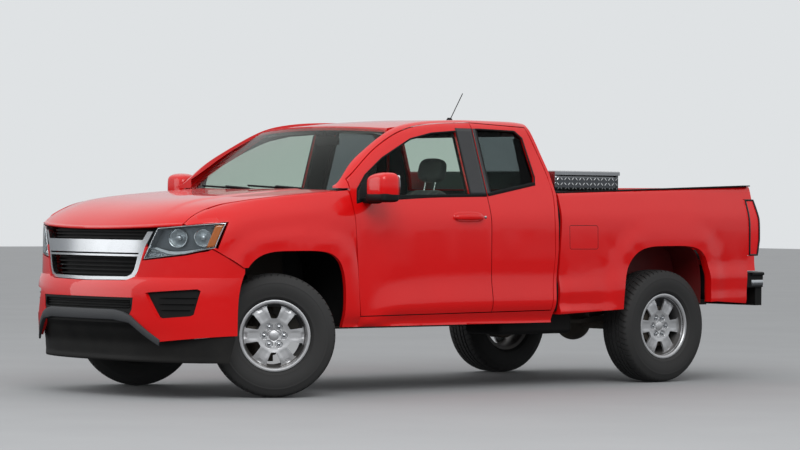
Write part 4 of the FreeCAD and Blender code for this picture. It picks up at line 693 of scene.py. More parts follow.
def hood_top(x: Array, y: Array) -> Array:
    """Height of the hood: a blunt lip, then a long rise to the cowl."""
    back = np.maximum(nose_ahead(y, 80) - (x - FRONT_AXLE), 0)
    share = np.clip(np.abs(y) / HOOD_HALF, 0, 1.2)
    rise = HOOD_RISE * (1 - np.exp(-back / HOOD_BEND)) + 0.073 * back
    return 1049 + 30 * share ** 2 + rise - 19 * share ** 3 * ease(back / HOOD_BEND)


def hood_half(x: Array) -> Array:
    """Half width of the hood along the truck."""
    return between(x - FRONT_AXLE, HOOD_SEAM) * HOOD_HALF


def side_patch(x: Array, z: Array, out: Array = 0.0) -> Array:
    """Points of the left side over grids of stations and heights, moved outwards."""
    x, z = np.broadcast_arrays(np.asarray(x, float), np.asarray(z, float))
    return stack(x, side(x, z) + out, z)


def station(distance: Array) -> Array:
    """Place along the truck at a distance behind the front axle."""
    return FRONT_AXLE - np.asarray(distance, float)


@dataclass(frozen=True)
class Wheel:
    """Where one wheel stands; its own Y axis points outwards."""

    name: str
    centre: tuple[float, float, float]
    turn: float

    def place(self, points: Array) -> Array:
        """Moves points from the wheel's own axes to the truck's."""
        return turned(points, self.turn) + self.centre

    def belongs(self, node: str = "") -> Belongs:
        """Says that a piece turns with the wheel, and which of its CAD nodes it stands for."""
        return Belongs(self.name + "_wheel", (node + "_" + self.name,) if node else ())


STEER = -31.0
KINGPIN, HUB_REACH, REAR_TRACK_HALF = 700.0, 92.5, 792.5
STEERED_BACK = HUB_REACH * math.sin(math.radians(STEER))
STEERED_OUT = KINGPIN + HUB_REACH * math.cos(math.radians(STEER))
REAR_AXLE = FRONT_AXLE - WHEELBASE
WHEELS = (
    Wheel("front_left", (FRONT_AXLE - STEERED_BACK, STEERED_OUT, TYRE_RADIUS), STEER),
    Wheel("front_right", (FRONT_AXLE + STEERED_BACK, -STEERED_OUT, TYRE_RADIUS), STEER + 180),
    Wheel("rear_left", (REAR_AXLE, REAR_TRACK_HALF, TYRE_RADIUS), 0.0),
    Wheel("rear_right", (REAR_AXLE, -REAR_TRACK_HALF, TYRE_RADIUS), 180.0),
)


@dataclass(frozen=True)
class Tyre:
    """All-season truck tyre: blocks cut by four round grooves and slanted cross cuts.

    The crown is (place across, radius); the side is (place across, radius) from the bead out; the cuts are
    shares of a pitch, and whether the tread is cut there.
    """

    grooves: tuple[float, ...] = (-52.0, -18.0, 18.0, 52.0)
    groove_half: float = 4.2
    groove_slope: float = 0.8
    depth: float = 8.0
    cross_depth: float = 0.85
    pitches: int = 58
    slant: float = 0.0011
    rib_half: float = 14.0
    tread_half: float = 105.0
    rows: tuple[float, ...] = (-105, -101, -84, -66, -35, 0, 35, 66, 84, 101, 105)
    crown: tuple[tuple[float, float], ...] = ((0, 383), (52, 382.8), (95, 379), (101, 376), (105, 372.5))
    cuts: tuple[tuple[float, bool], ...] = (
        (0.0, False), (0.025, True), (0.15, True), (0.175, False), (0.55, False))
    side: tuple[tuple[float, float], ...] = (
        (97, 205.6), (97, 221.6), (101, 223), (107, 226), (116, 238), (119, 242), (119, 245), (124, 262),
        (127.4, 284), (128.6, 300), (128, 318), (127, 322), (127.6, 324), (126.6, 330), (125, 333),
        (121, 345), (116, 358), (111.4, 367))

    def outline(self) -> tuple[Array, Array, Array]:
        """Gives the section: places across, radii, and which rows lie on the tread."""
        wide = self.groove_half + self.groove_slope
        edges = [place + step for place in self.grooves
                 for step in (-wide, -self.groove_half, self.groove_half, wide)]
        tread = np.array(sorted(list(self.rows) + edges))
        flank = np.array(self.side)
        across = np.concatenate([-flank[:, 0], tread, flank[::-1, 0]])
        radius = np.concatenate([flank[:, 1], between(np.abs(tread), self.crown), flank[::-1, 1]])
        on_tread = np.repeat([False, True, False], (len(flank), len(tread), len(flank)))
        return across, radius, on_tread

    def points(self) -> Array:
        """Builds the surface: rows across the section, columns that follow the slanted cuts."""
        across, radius, on_tread = self.outline()
        shares, cut_there = zip(*self.cuts)
        turn = ((np.arange(self.pitches)[:, None] + shares).ravel()) * 2 * math.pi / self.pitches
        in_cut = np.tile(cut_there, self.pitches)
        lean = np.where(on_tread, np.abs(across), self.tread_half) * self.slant
        half_pitch = np.where(across > 0, math.pi / self.pitches, 0.0)
        half_pitch = half_pitch * ease(np.abs(across) / self.grooves[-2])
        angle = turn[None, :] + (lean + half_pitch)[:, None]
        nearest = np.min(np.abs(across[:, None] - np.array(self.grooves)), axis=1)
        round_groove = nearest <= self.groove_half + 0.1
        rib = np.abs(across) < self.rib_half
        cut = np.where(in_cut[None, :] & (on_tread & ~rib)[:, None], self.depth * self.cross_depth, 0.0)
        cut = np.where((round_groove & on_tread)[:, None], self.depth, cut)
        reach = radius[:, None] - cut
        return stack(reach * np.sin(angle), across[:, None] + 0 * angle, reach * np.cos(angle))

    def build(self, wheel: Wheel) -> None:
        """Builds one tyre in place of its plain solid."""
        made = surface("tread_tyre_" + wheel.name, wheel.place(self.points()), wrap=(True, True))
        settle(made, SIDEWALL, wheel.belongs("tyre"))


@dataclass(frozen=True)
class Rim:
    """Cast wheel with six wide flat spokes, nuts in round pockets and a plain cap.

    Its sections are (place across, radius), apart from the face, which is (radius, place across), and the
    spoke, which is (radius, half width). A nut's rings are (rise, radius).
    """

    spokes: int = 6
    window_low: float = 105.0
    window_high: float = 190.0
    lug_circle: float = 61.0
    pocket: float = 21.0
    pocket_depth: float = 12.0
    nut_seat: float = 47.0
    wall: float = 13.0
    edge: float = 1.6
    face: tuple[tuple[float, float], ...] = (
        (30, 58), (38, 60), (48, 61), (84, 63), (105, 66), (150, 67), (176, 64.5), (190, 62), (194, 66),
        (196.5, 84), (199, 97), (206, 105), (211, 106), (217, 106), (221, 105))
    spoke: tuple[tuple[float, float], ...] = ((48, 26), (85, 31), (105, 36), (182, 47), (190, 52), (221, 58))
    barrel: tuple[tuple[float, float], ...] = (
        (98, 199), (98.3, 205.2), (-97.6, 205.2), (-98, 221), (-104, 221), (-98, 197), (-60, 182), (30, 178),
        (60, 188), (80, 196))
    cap: tuple[tuple[float, float], ...] = ((40, 31), (61, 31.5), (65, 29), (68, 20), (69, 8), (69, 1))
    nut_rings: tuple[tuple[float, float], ...] = ((0.0, 12.5), (15.0, 12.5), (19.0, 9.5), (21.0, 4.0))

    def points(self) -> tuple[Array, Array]:
        """Builds the front face and says which of its faces are windows.

        Returns:
            Points in the wheel's own axes, and the grid of faces to keep.
        """
        low, high = self.window_low, self.window_high
        radius = np.concatenate([np.linspace(30, 36, 3), np.linspace(39, 84, 18), (90, 97),
                                 np.linspace(low, high, 12), (192, 194, 196.5, 199, 206, 211, 217, 221)])
        spoke, window = np.linspace(-1, 1, 19), np.linspace(0, 1, 9)[1:-1]
        half = np.arcsin(np.minimum(between(radius, self.spoke) / radius, 0.499))
        corner = 8 * ((radius - low) / (high - low) - 0.5)
        half = half + 0.05 * ease(np.abs(corner) - 3.2) * ((radius > low - 1) & (radius < high + 1))
        step = 2 * math.pi / self.spokes
        half = half[:, None]
        sector = np.concatenate([half * spoke, half + (step - 2 * half) * window], axis=1)
        turn = np.concatenate([sector + step * (number + 0.5) for number in range(self.spokes)], axis=1)
        is_window = np.tile(np.repeat([False, True], (len(spoke) - 1, len(window) + 1)), self.spokes)
        in_band = (radius[:-1] >= low - 0.01) & (radius[1:] <= high + 0.01)
        keep = ~(in_band[:, None] & is_window[None, :])
        reach = radius[:, None] + 0 * turn
        x, z = reach * np.sin(turn), reach * np.cos(turn)
        return stack(x, between(reach, self.face) - self.dimples(turn, reach), z), keep

    def dimples(self, turn: Array, reach: Array) -> Array:
        """Depth of the nut pockets, the soft hollow along each spoke and the recess at its outer end."""
        step = 2 * math.pi / self.spokes
        near = (turn / step) % 1 - 0.5
        across, along = reach * np.sin(near * step), reach * np.cos(near * step)
        pocket = self.pocket_depth * ease((self.pocket + 2.5 - np.hypot(across, along - self.lug_circle)) / 4)
        end = 3.5 * ease((17 - np.abs(across)) / 3) * ease((8 - np.abs(along - 178)) / 3)
        hollow = 1.6 * ease((34 - np.abs(across)) / 20) * ease((along - 96) / 14) * ease((168 - along) / 14)
        return np.maximum(pocket, np.maximum(end, hollow))

    def nut(self, number: int) -> Array:
        """Closed form of one hexagonal nut with a domed end."""
        turn = np.arange(6) * math.pi / 3
        angle = (number + 0.5) * 2 * math.pi / self.spokes
        middle = np.array([math.sin(angle), 0, math.cos(angle)]) * self.lug_circle
        rows = [stack(radius * np.sin(turn), self.nut_seat + rise + 0 * turn, radius * np.cos(turn))
                for rise, radius in self.nut_rings]
        return np.stack(rows) + middle

    def build(self, wheel: Wheel) -> None:
        """Builds one wheel: face, barrel, cap and nuts."""
        rim = wheel.belongs("rim")
        points, keep = self.points()
        outward = turned(np.array([0.0, 1.0, 0.0]), wheel.turn)
        sheet("rim_face_" + wheel.name, wheel.place(points), ALLOY, outward, self.wall, rim, self.edge,
              wrap=(False, True), keep=keep)
        closed("rim_barrel_" + wheel.name, wheel.place(revolve(self.barrel, 96)), BARREL, rim, ring=True)
        closed("hub_cap_" + wheel.name, wheel.place(revolve(self.cap, 48)), ALLOY, rim)
        for number in range(self.spokes):
            closed("nut_%s_%d" % (wheel.name, number + 1), wheel.place(self.nut(number)), CHROME,
                   wheel.belongs(), bevel=0.6)


@dataclass(frozen=True)
class Brake:
    """Cast disc behind a front wheel, with its bell over the hub: two rings on vanes."""

    radius: float = 99.0
    bore: float = 60.0
    bell: float = 72.0
    vane_drop: float = 5.0
    faces: tuple[float, ...] = (-46.0, -36.0, -34.0, -32.0, -30.0, -20.0)
    bell_end: float = 30.0

    def build(self, wheel: Wheel) -> None:
        """Builds one disc."""
        back, first, low, high, second, front = self.faces
        inner = self.radius - self.vane_drop
        outline = ((back, self.bore), (back, self.radius), (first, self.radius), (low, inner), (high, inner),
                   (second, self.radius), (front, self.radius), (front, self.bell + 2),
                   (self.bell_end, self.bell), (self.bell_end, self.bore))
        points = wheel.place(revolve(outline, 96))
        closed("brake_disc_" + wheel.name, points, DISC, wheel.belongs(), ring=True, bevel=0.8)


BODY_SIDES = (("left", False), ("right", True))


@dataclass(frozen=True)
class Hood:
    """Stamped hood: a raised middle with a soft crease on each side, its edges turned down.

    Its lip's places are (ahead of the hood's edge, below it), from the foot up.
    """

    lip: tuple[tuple[float, float], ...] = ((17.0, 19.0), (19.0, 13.0), (17.0, 7.0), (11.0, 2.6), (5.0, 0.7))
    raised: float = 7.0
    crease: tuple[float, float] = (0.80, 0.66)
    gap: float = 3.0
    thickness: float = 20.0
    edge: float = 3.5
    setback: float = 80.0
    cowl: float = 330.0
    cowl_sweep: float = 70.0

    def points(self) -> Array:
        """Builds the top: rows from the nose to the cowl, columns across."""
        along, across = grid(np.linspace(0, 1, 70) ** 1.7, np.linspace(-1, 1, 97))
        y = across * 780.0
        for _ in range(12):
            front = FRONT_AXLE + nose_ahead(y, self.setback) - self.gap
            back = station(self.cowl + self.cowl_sweep * across ** 2) + self.gap
            x = front + (back - front) * along
            y = across * (hood_half(x) - self.gap)
        crease = self.crease[0] + (self.crease[1] - self.crease[0]) * along
        middle = self.raised * ease((crease - np.abs(across)) / 0.07) * ease(along / 0.3)
        top = stack(x, y, hood_top(x, y) + middle)
        lip = [top[:1] + (ahead, 0, -drop) for ahead, drop in self.lip]
        return np.concatenate(lip + [top])

    def build(self) -> None:
        """Builds the hood in place of its plain solid."""
        sheet("hood_skin", self.points(), PAINT, (0, 0, 1), self.thickness, Belongs("hood", ("hood",)),
              self.edge)


@dataclass(frozen=True)
class WingTip:
    """Painted tip of each wing, between the hood's seam and the top of the headlamp."""

    ahead: tuple[float, float] = (545.0, 708.0)
    setback: float = 44.0
    wall: float = 3.0

    def points(self) -> Array:
        """Builds the left tip: rows forward along the seam, columns outwards."""
        ahead, out = grid(np.linspace(*self.ahead, 30), np.linspace(0, 1, 12))
        x = FRONT_AXLE + ahead
        share = np.clip((ahead - NOSE_START) / (NOSE_REACH - self.setback), 0, 0.9999)
        edge = NOSE_HALF_WIDTH * (1 - share ** NOSE_POWER) ** (1 / NOSE_POWER)
        seam = hood_half(x)
        y = seam + (np.maximum(edge, seam + 2) - seam) * out
        lamp_top = 1047 + 34 * np.clip((y - 600) / 308, 0, 1) ** 1.18
        high = hood_top(x, seam)
        return stack(x, y, high + (np.minimum(lamp_top, high) - high) * out ** 1.6 - 1.0)

    def build(self) -> None:
        """Builds both tips."""
        for side_name, mirrored in BODY_SIDES:
            sheet("wing_tip_" + side_name, self.points(), PAINT, (0, 0, 1), self.wall,
                  Belongs(mirrored=mirrored))


@dataclass(frozen=True)
class Headlamp:
    """Headlamp behind a clear cover: two bowls, a bright sweep below them and an amber corner.

    A bowl is (half width of the truck, height, radius). The other tables are (share along the lamp, value),
    and the shield's section is (place ahead, radius).
    """

    bowls: tuple[tuple[float, float, float], ...] = ((716, 982, 54), (836, 986, 50))
    depth: float = 52.0
    foot: tuple[tuple[float, float], ...] = ((0, 850), (0.35, 868), (0.65, 884), (1, 922))
    sweep_foot: tuple[tuple[float, float], ...] = (
        (0, 0.34), (0.1, 0.31), (0.22, 0.2), (0.36, 0.08), (0.5, 0.03), (1, 0.03))
    sweep_wide: tuple[tuple[float, float], ...] = (
        (0, 0.05), (0.2, 0.09), (0.4, 0.12), (0.7, 0.1), (0.93, 0.05))
    flutes: float = 22.0
    bowl_depth: float = 40.0
    bowl_inset: float = 17.0
    shield: tuple[tuple[float, float], ...] = ((-44, 15), (-18, 15), (-12, 13), (-8, 8), (-7, 1))

    def place(self, along: Array, up: Array, inward: Array) -> Array:
        """Gives places in the lamp's outline: along it outwards, up it, and inwards from its cover."""
        along, up, inward = np.broadcast_arrays(np.asarray(along, float), up, inward)
        low_y, high_y = 506 + 374 * along ** 0.9, 600 + 308 * along ** 0.85
        low_z, high_z = between(along, self.foot), 1042 + 34 * along
        return nose_place(low_y + (high_y - low_y) * up, low_z + (high_z - low_z) * up, inward)

    def patch(self, along: tuple[float, float], up: tuple[float, float], inward: float, rows: int,
              columns: int) -> Array:
        """Builds an even patch of the lamp."""
        first, second = grid(np.linspace(*along, rows), np.linspace(*up, columns))
        return self.place(first, second, inward)

    def housing(self) -> Array:
        """Builds the tray behind the cover, its rim turned out to the body."""
        first, second = grid(np.concatenate([[0.004, 0.012], np.linspace(0.03, 0.97, 22), [0.988, 0.996]]),
                             np.concatenate([[0.01, 0.03], np.linspace(0.08, 0.92, 9), [0.97, 0.99]]))
        edge = np.minimum(np.minimum(first, 1 - first) / 0.03, np.minimum(second, 1 - second) / 0.08)
        return self.place(first, second, 3 + (self.depth - 3) * np.clip((edge - 0.3) / 0.7, 0, 1))

    def ribs(self) -> Array:
        """Builds the fluted reflector at the lower inner corner."""
        first, second = grid(np.linspace(0.03, 0.42, 161), np.linspace(0.02, 1, 5))
        second = 0.04 + second * (between(first, self.sweep_foot) - 0.05)
        return self.place(first, second, 20 + 1.6 * np.sin(first * 2 * math.pi * self.flutes / 0.39))

    def bright_sweep(self) -> Array:
        """Builds the bright strip below the bowls, falling from the inner corner and following the foot."""
        first, second = grid(np.linspace(0.01, 0.93, 60), np.linspace(0, 1, 6))
        up = between(first, self.sweep_foot) + between(first, self.sweep_wide) * second
        return self.place(first, up, 9 + 10 * second)

    def outline(self) -> Array:
        """Builds the bright bead round the cover."""
        run = np.linspace(0, 1, 30)
        flat, full = np.zeros(12), np.ones(12)
        rise = np.linspace(0, 1, 14)[1:-1]
        along = np.concatenate([run, full, run[::-1], flat])
        up = np.concatenate([run * 0 + 1, rise[::-1], run * 0, rise])
        path = self.place(0.008 + 0.984 * along, 0.02 + 0.96 * up, 5.0)
        return sweep(path, rounded(7, 9, 3, 8), up=(1, 0.5, 0.2))

    def bowl(self, y: float, z: float, radius: float) -> tuple[Array, Array]:
        """Builds one bowl and its lamp shield, square to the cover."""
        skin = nose_place(y, z, 0.0)
        inward = nose_place(y, z, 1.0) - skin
        turn = math.degrees(-math.atan2(-inward[0], -inward[1])) * 0.92
        reach = np.linspace(1.0, 0.06, 12)
        dish = [(-self.bowl_depth * (1 - share ** 2), radius * share) for share in reach]
        rim = [(-8, radius + 5), (-1, radius + 5), (1.5, radius + 2.5)]
        middle = skin + inward * self.bowl_inset
        return turned(revolve(rim + dish, 48), turn) + middle, turned(revolve(self.shield, 24), turn) + middle

    def build(self, side_name: str, mirrored: bool) -> None:
        """Builds one headlamp."""
        lamp = Belongs(nodes=("headlamps",), mirrored=mirrored)
        name, looks = "lamp_%s_" + side_name, (1, 0, 0)
        for part, points, finish, wall in (
                ("cover", self.patch((0.004, 0.996), (0.01, 0.99), 0.5, 40, 12), CLEAR_LENS, 2.5),
                ("housing", self.housing(), BEZEL, 2.0), ("ribs", self.ribs(), REFLECTOR, 2.0),
                ("sweep", self.bright_sweep(), CHROME, 5.0),
                ("corner", self.patch((0.90, 0.985), (0.08, 0.93), 7.0, 8, 12), AMBER_LENS, 3.0)):
            sheet(name % part, points, finish, looks, wall, lamp)
        closed(name % "outline", self.outline(), CHROME, lamp, ring=True)
        for number, (y, z, radius) in enumerate(self.bowls):
            dish, shield = self.bowl(y, z, radius)
            sheet("lamp_bowl_%s_%d" % (side_name, number), dish, REFLECTOR, looks, 1.5, lamp,
                  wrap=(False, True))
            closed(name % ("shield_%d" % number), shield, ALLOY, replace(lamp, slot="bright_trim"))


def along_path(corners: Array, places: Array) -> Array:
    """Reads points at distances along a path through corners."""
    return np.stack([np.interp(places, path_length(corners), values) for values in corners.T], axis=-1)


def path_length(corners: Array) -> Array:
    """Distance of each corner along the path through them."""
    return np.concatenate([[0], np.cumsum(np.hypot(*np.diff(corners, axis=0).T))])


@dataclass(frozen=True)
class FrontTrim:
    """Proud edge of the lower cover, bars across the slot and ribs on the lamp blanks.

    The ledge's corners are (half width, height); a blank's rib is (height, from, to, thickness).
    """

    slot_half: float = 436.0
    slot_bars: tuple[float, ...] = (559.0, 575.0, 591.0)
    slot_inset: float = 20.0
    blank_ribs: tuple[tuple[float, float, float, float], ...] = (
        (548, 650, 800, 4), (585, 644, 818, 7), (622, 644, 826, 4))
    blank_inset: float = 15.0
    ledge_corners: tuple[tuple[float, float], ...] = (
        (0, 512), (330, 512), (405, 500), (455, 486), (500, 452), (575, 392), (640, 346))

    def ledge(self) -> Array:
        """Builds the lower cover's proud edge: level under the slot, then down along the painted corners."""
        corners = np.array(self.ledge_corners, float)
        length = path_length(corners)[-1]
        share = np.linspace(0, length, 70)
        y, z = along_path(corners, share).T
        proud = 13 * ease((length - share) / 160)
        height = 32 - 10 * ease((share - 380) / 120)
        y, z, proud, height = (np.concatenate([part[::-1] * sign, part[1:]])
                               for part, sign in ((y, -1), (z, 1), (proud, 1), (height, 1)))
        path = nose_place(y, z, -proud / 2, NOSE_LOWER)
        points = sweep(path, rounded(2, 2, 5, 14))
        scale = np.stack([proud / 2 + 7, proud / 2 + 7, height], axis=-1)
        return path[:, None] + (points - path[:, None]) * scale[:, None]

    def bar(self, name: str, low: float, high: float, z: float, inward: float, outline: Array) -> None:
        """Builds a bar that follows the nose between two half widths."""
        path = nose_place(np.linspace(low, high, 40), z, inward, NOSE_LOWER)
        closed(name, sweep(path, outline), MOULDED)

    def build(self) -> None:
        """Builds the trim of the lower front."""
        # The ledge is black plastic in a dark grey finish, a painted highlight on its lit top face
        closed("cover_ledge", self.ledge(), MOULDED_PAINTED_HIGHLIGHT)
        for number, z in enumerate(self.slot_bars):
            self.bar("slot_bar_%d" % number, -self.slot_half, self.slot_half, z, self.slot_inset,
                     rounded(14, 5))
        for side_name, sign in (("left", 1), ("right", -1)):
            for number, (z, low, high, wall) in enumerate(self.blank_ribs):
                self.bar("blank_rib_%s_%d" % (side_name, number), sign * low, sign * high, z,
                         self.blank_inset, rounded(12, wall))


FRONT_WINDOW = ((528, 1207), (553, 1290), (643, 1381), (814, 1490), (1088, 1616), (1279, 1657), (1495, 1674),
                (1495, 1262), (600, 1228))
REAR_WINDOW = ((1676, 1278), (1676, 1692), (2012, 1684), (2066, 1640), (2096, 1385), (2086, 1350))


def side_loop(corners: Sequence[tuple[float, float]], grow: float, out: float, step: float = 18.0) -> Array:
    """Traces a loop on the body's left side.

    Args:
        corners: (distance behind the front axle, height) of each corner.
        grow: how far the loop is moved outwards in its plane.
        out: how far it stands off the body.
        step: spacing of its points.

    Returns:
        Points all the way round, the first not repeated.
    """
    flat = np.array(corners, float)
    before, after = flat - np.roll(flat, 1, axis=0), np.roll(flat, -1, axis=0) - flat
    middle = flat.mean(axis=0)
    ways = [np.stack([edge[:, 1], -edge[:, 0]], axis=-1) / np.linalg.norm(edge, axis=1, keepdims=True)
            for edge in (before, after)]
    ways = [way * np.where(np.sum(way * (flat - middle), axis=1) < 0, -1, 1)[:, None] for way in ways]
    mitre = ways[0] + ways[1]
    mitre /= np.sum(mitre * ways[0], axis=1, keepdims=True)
    flat = flat + mitre * grow
    runs = []
    for first, second in zip(flat, np.roll(flat, -1, axis=0)):
        count = max(int(np.linalg.norm(second - first) / step), 1)
        runs.append(first + (second - first) * np.linspace(0, 1, count, endpoint=False)[:, None])
    path = np.concatenate(runs)
    return side_patch(station(path[:, 0]), path[:, 1], out)


def ring_sweep(path: Array, outline: Array, up: Sequence[float] = (0, 1, 0)) -> Array:
    """Carries an outline round a closed path."""
    doubled = np.concatenate([path[-2:], path, path[:2]])
    return sweep(doubled, outline, up)[2:-2]


@dataclass(frozen=True)
class DoorTrim:
    """What sits on one side's doors: seals, belt strips, black pillar band, handle, lock and inner panel.

    Distances along are behind the front axle. The belts are (distance along, height), and the sail's front
    edge is (height, distance along).
    """

    handle: tuple[float, float] = (1318.0, 1562.0)
    handle_z: float = 1121.0
    band_z: tuple[float, float] = (1262.0, 436.0)
    band_out: float = 2.4
    lining_in: float = 50.0
    sail_front: tuple[tuple[float, float], ...] = ((1207, 532), (1290, 560), (1381, 650))
    sail_back: float = 666.0
    sail_z: tuple[float, float] = (1214.0, 1392.0)
    front_belt: tuple[tuple[float, float], ...] = ((560, 1222), (640, 1240), (1000, 1250), (1634, 1262))
    rear_belt: tuple[tuple[float, float], ...] = ((1650, 1264), (2088, 1340))

    def sail(self) -> Array:
        """Builds the black corner of the front window, below the mirror's foot."""
        share, z = grid(np.linspace(0, 1, 10), np.linspace(*self.sail_z, 12))
        front = between(z, self.sail_front)
        return side_patch(station(front + (self.sail_back - front) * share), z, 2.5)

    def band(self, low: float, high: float, out: float) -> Array:
        """Builds an upright band beside a window, between two distances behind the front axle."""
        share, rise = grid(np.linspace(0, 1, 8), np.linspace(0, 1, 20))
        return side_patch(station(low + (high - low) * share), self.band_z[0] + self.band_z[1] * rise, out)

    def grip(self) -> Array:
        """Builds the handle's bar, standing off the door in its middle."""
        share = np.linspace(-1, 1, 33)
        low, high = self.handle
        x = station((low + high) / 2 + (high - low) / 2 * share)
        lift = 9 + 25 * (1 - np.abs(share) ** 4)
        path = side_patch(x, self.handle_z - 3 * share ** 2 + 0 * x, lift)
        points = sweep(path, rounded(30, 15, 3, 16)[:, ::-1])
        shrink = (1 - 0.55 * np.abs(share) ** 12)[:, None, None]
        return path[:, None] + (points - path[:, None]) * shrink

    def cup(self) -> Array:
        """Builds the shallow plate behind the handle."""
        share, turn = grid(np.linspace(0.02, 1, 8), np.arange(48) * 2 * math.pi / 48)
        across = np.sign(np.cos(turn)) * np.abs(np.cos(turn)) ** 0.55 * 128 * share
        rise = np.sign(np.sin(turn)) * np.abs(np.sin(turn)) ** 0.7 * 33 * share
        x = station(sum(self.handle) / 2 + across)
        return side_patch(x, self.handle_z + rise, 1.2 - 0.8 * share ** 6)

    def lining(self, low: float, high: float) -> Array:
        """Builds the inner panel with its armrest and map pocket."""
        first, z = grid(np.linspace(0, 1, 30), np.linspace(525, 1248, 60))
        x = station(low + (high - low) * first)
        rest = 58 * np.exp(-((z - 985) / 46) ** 4) * ease(first / 0.25) * ease((1 - first) / 0.1)
        pocket = 38 * ease((680 - z) / 40) * ease(first / 0.1) * ease((1 - first) / 0.1)
        return side_patch(x, z, -101 - np.maximum(rest, pocket))

    def lock(self) -> Array:
        """Builds the lock's round cover."""
        points = revolve(((0, 10), (2.5, 10), (4, 7), (4.4, 1)), 24)
        return points + side_patch(station(self.handle[1] + 26), self.handle_z - 2, 0.0)

    def belt(self, line: Sequence[tuple[float, float]], count: int) -> Array:
        """Builds the rubber strip along a window's foot."""
        run = np.linspace(line[0][0], line[-1][0], count)
        return sweep(side_patch(station(run), between(run, line), 2.0), rounded(8, 20, 4, 12))

    def build(self, side_name: str, mirrored: bool) -> None:
        """Builds the trim of one side's two doors."""
        front, rear = (Belongs(door + side_name, mirrored=mirrored) for door in ("front_door_", "rear_door_"))
        for name, points, finish, door, wall, way in (
                ("window_corner", self.sail(), MOULDED, front, 2.0, 1),
                ("pillar_band", self.band(1493, 1636, self.band_out), PILLAR_FILM, front, 1.0, 1),
                ("rear_pillar_band", self.band(1645, 1678, self.band_out), PILLAR_FILM, rear, 1.0, 1),
                ("pillar_lining", self.band(1497, 1634, -self.lining_in), TRIM, front, 2.0, -1),
                ("rear_pillar_lining", self.band(1647, 1676, -self.lining_in), TRIM, rear, 2.0, -1),
                ("handle_plate", self.cup(), PAINT, front, 1.0, 1),
                ("front_lining", self.lining(600, 1610), TRIM, front, 3.0, -1),
                ("rear_lining", self.lining(1670, 2090), TRIM, rear, 3.0, -1)):
            sheet("%s_%s" % (name, side_name), points, finish, (0, way, 0), wall, door)
        seal = rounded(12, 7, 3, 10)
        for name, points, finish, door, ring in (
                ("handle", self.grip(), PAINT, front, False),
                ("lock", self.lock(), CHROME, front, False),
                ("front_seal", ring_sweep(side_loop(FRONT_WINDOW, 2, 0.5), seal), MOULDED, front, True),
                ("rear_seal", ring_sweep(side_loop(REAR_WINDOW, 2, 0.5), seal), MOULDED, rear, True),
                ("front_belt", self.belt(self.front_belt, 40), MOULDED, front, False),
                ("rear_belt", self.belt(self.rear_belt, 20), MOULDED, rear, False)):
            closed("%s_%s" % (name, side_name), points, finish, door, ring)


@dataclass(frozen=True)
class Mirror:
    """Door mirror: painted cap over a black case, on a short arm."""

    middle: tuple[float, float, float] = (1150.0, 1046.0, 1308.0)
    size: tuple[float, float, float] = (150.0, 192.0, 178.0)
    base_z: float = 1240.0
    base: tuple[float, float, float] = (154.0, 196.0, 62.0)
    arm_at: tuple[float, float, float] = (1146.0, 945.0, 1222.0)
    arm: tuple[float, float, float] = (96.0, 130.0, 44.0)
    glass_x: float = -76.5

    def case(self) -> Array:
        """Builds the case, its inner end lower and its back drawn in."""
        x, y, z = np.moveaxis(solid_box((0, 0, 0), self.size, 4.6, 25, 56), -1, 0)
        inner = ease((10 - y) / 110)
        z = z * (1 - 0.10 * inner) - 4 * inner
        front = ease(x / 75)
        return stack(x, y * (1 - 0.10 * front), z * (1 - 0.12 * front)) + self.middle

    def glass(self) -> Array:
        """Builds the glass in the case's back, narrower above and below."""
        y, z = grid(np.linspace(-82, 82, 12), np.linspace(-68, 72, 10))
        return stack(self.glass_x + 0 * y, y * np.sqrt(1 - (z / 190) ** 2), z) + self.middle

    def build(self, side_name: str, mirrored: bool) -> None:
        """Builds one mirror."""
        mirror = Belongs("front_door_" + side_name, ("mirror_" + side_name,), mirrored)
        base_at = (self.middle[0], self.middle[1], self.base_z)
        closed("mirror_case_" + side_name, self.case(), PAINT, mirror)
        closed("mirror_base_" + side_name, solid_box(base_at, self.base, 4.2, 13, 48), MOULDED, mirror)
        closed("mirror_arm_" + side_name, solid_box(self.arm_at, self.arm, 3.4, 11, 32), MOULDED, mirror)
        sheet("mirror_glass_" + side_name, self.glass(), MIRROR_GLASS, (-1, 0, 0), 1.0, mirror)


CLOTH_FRAMES, CLOTH_QUALITY, CLOTH_MASS, CLOTH_STIFFNESS = 20, 5, 0.3, 20.0


def plump(piece: bpy.types.Object, voxel: float, pressure: float = 4.0, cap: float = 20.0) -> None:
    """Blows a pad up as sewn cloth over foam, then adds one subdivision.

    Args:
        piece: closed form, a little smaller than the pad.
        voxel: remesh size in millimetres.
        pressure: air pressure that stands for the foam.
        cap: farthest that a point may move, in millimetres.
    """
    scene = bpy.context.scene
    remesh = piece.modifiers.new("remesh", "REMESH")
    remesh.mode, remesh.voxel_size = "VOXEL", voxel * MM
    apply_modifiers(piece)
    start = coordinates(piece.data)
    cloth = piece.modifiers.new("cloth", "CLOTH")
    cloth.settings.use_pressure, cloth.settings.uniform_pressure_force = True, pressure
    cloth.settings.effector_weights.gravity = 0.0
    cloth.settings.mass, cloth.settings.quality = CLOTH_MASS, CLOTH_QUALITY
    cloth.settings.tension_stiffness = cloth.settings.compression_stiffness = CLOTH_STIFFNESS
    cloth.point_cache.frame_start, cloth.point_cache.frame_end = 1, CLOTH_FRAMES
    for number in range(1, CLOTH_FRAMES + 1):
        scene.frame_set(number)
    apply_modifiers(piece)
    move = coordinates(piece.data) - start
    far = np.linalg.norm(move, axis=1, keepdims=True)
    move *= np.minimum(1, cap * MM / np.maximum(far, 1e-9))
    piece.data.vertices.foreach_set("co", (start + move).ravel())
    scene.frame_set(1)
    smooth = piece.modifiers.new("smooth", "SUBSURF")
    smooth.levels = smooth.render_levels = 1
    apply_modifiers(piece)
    LOG.info("%s moved %.1f mm at most", piece.name, min(far.max() / MM, cap))


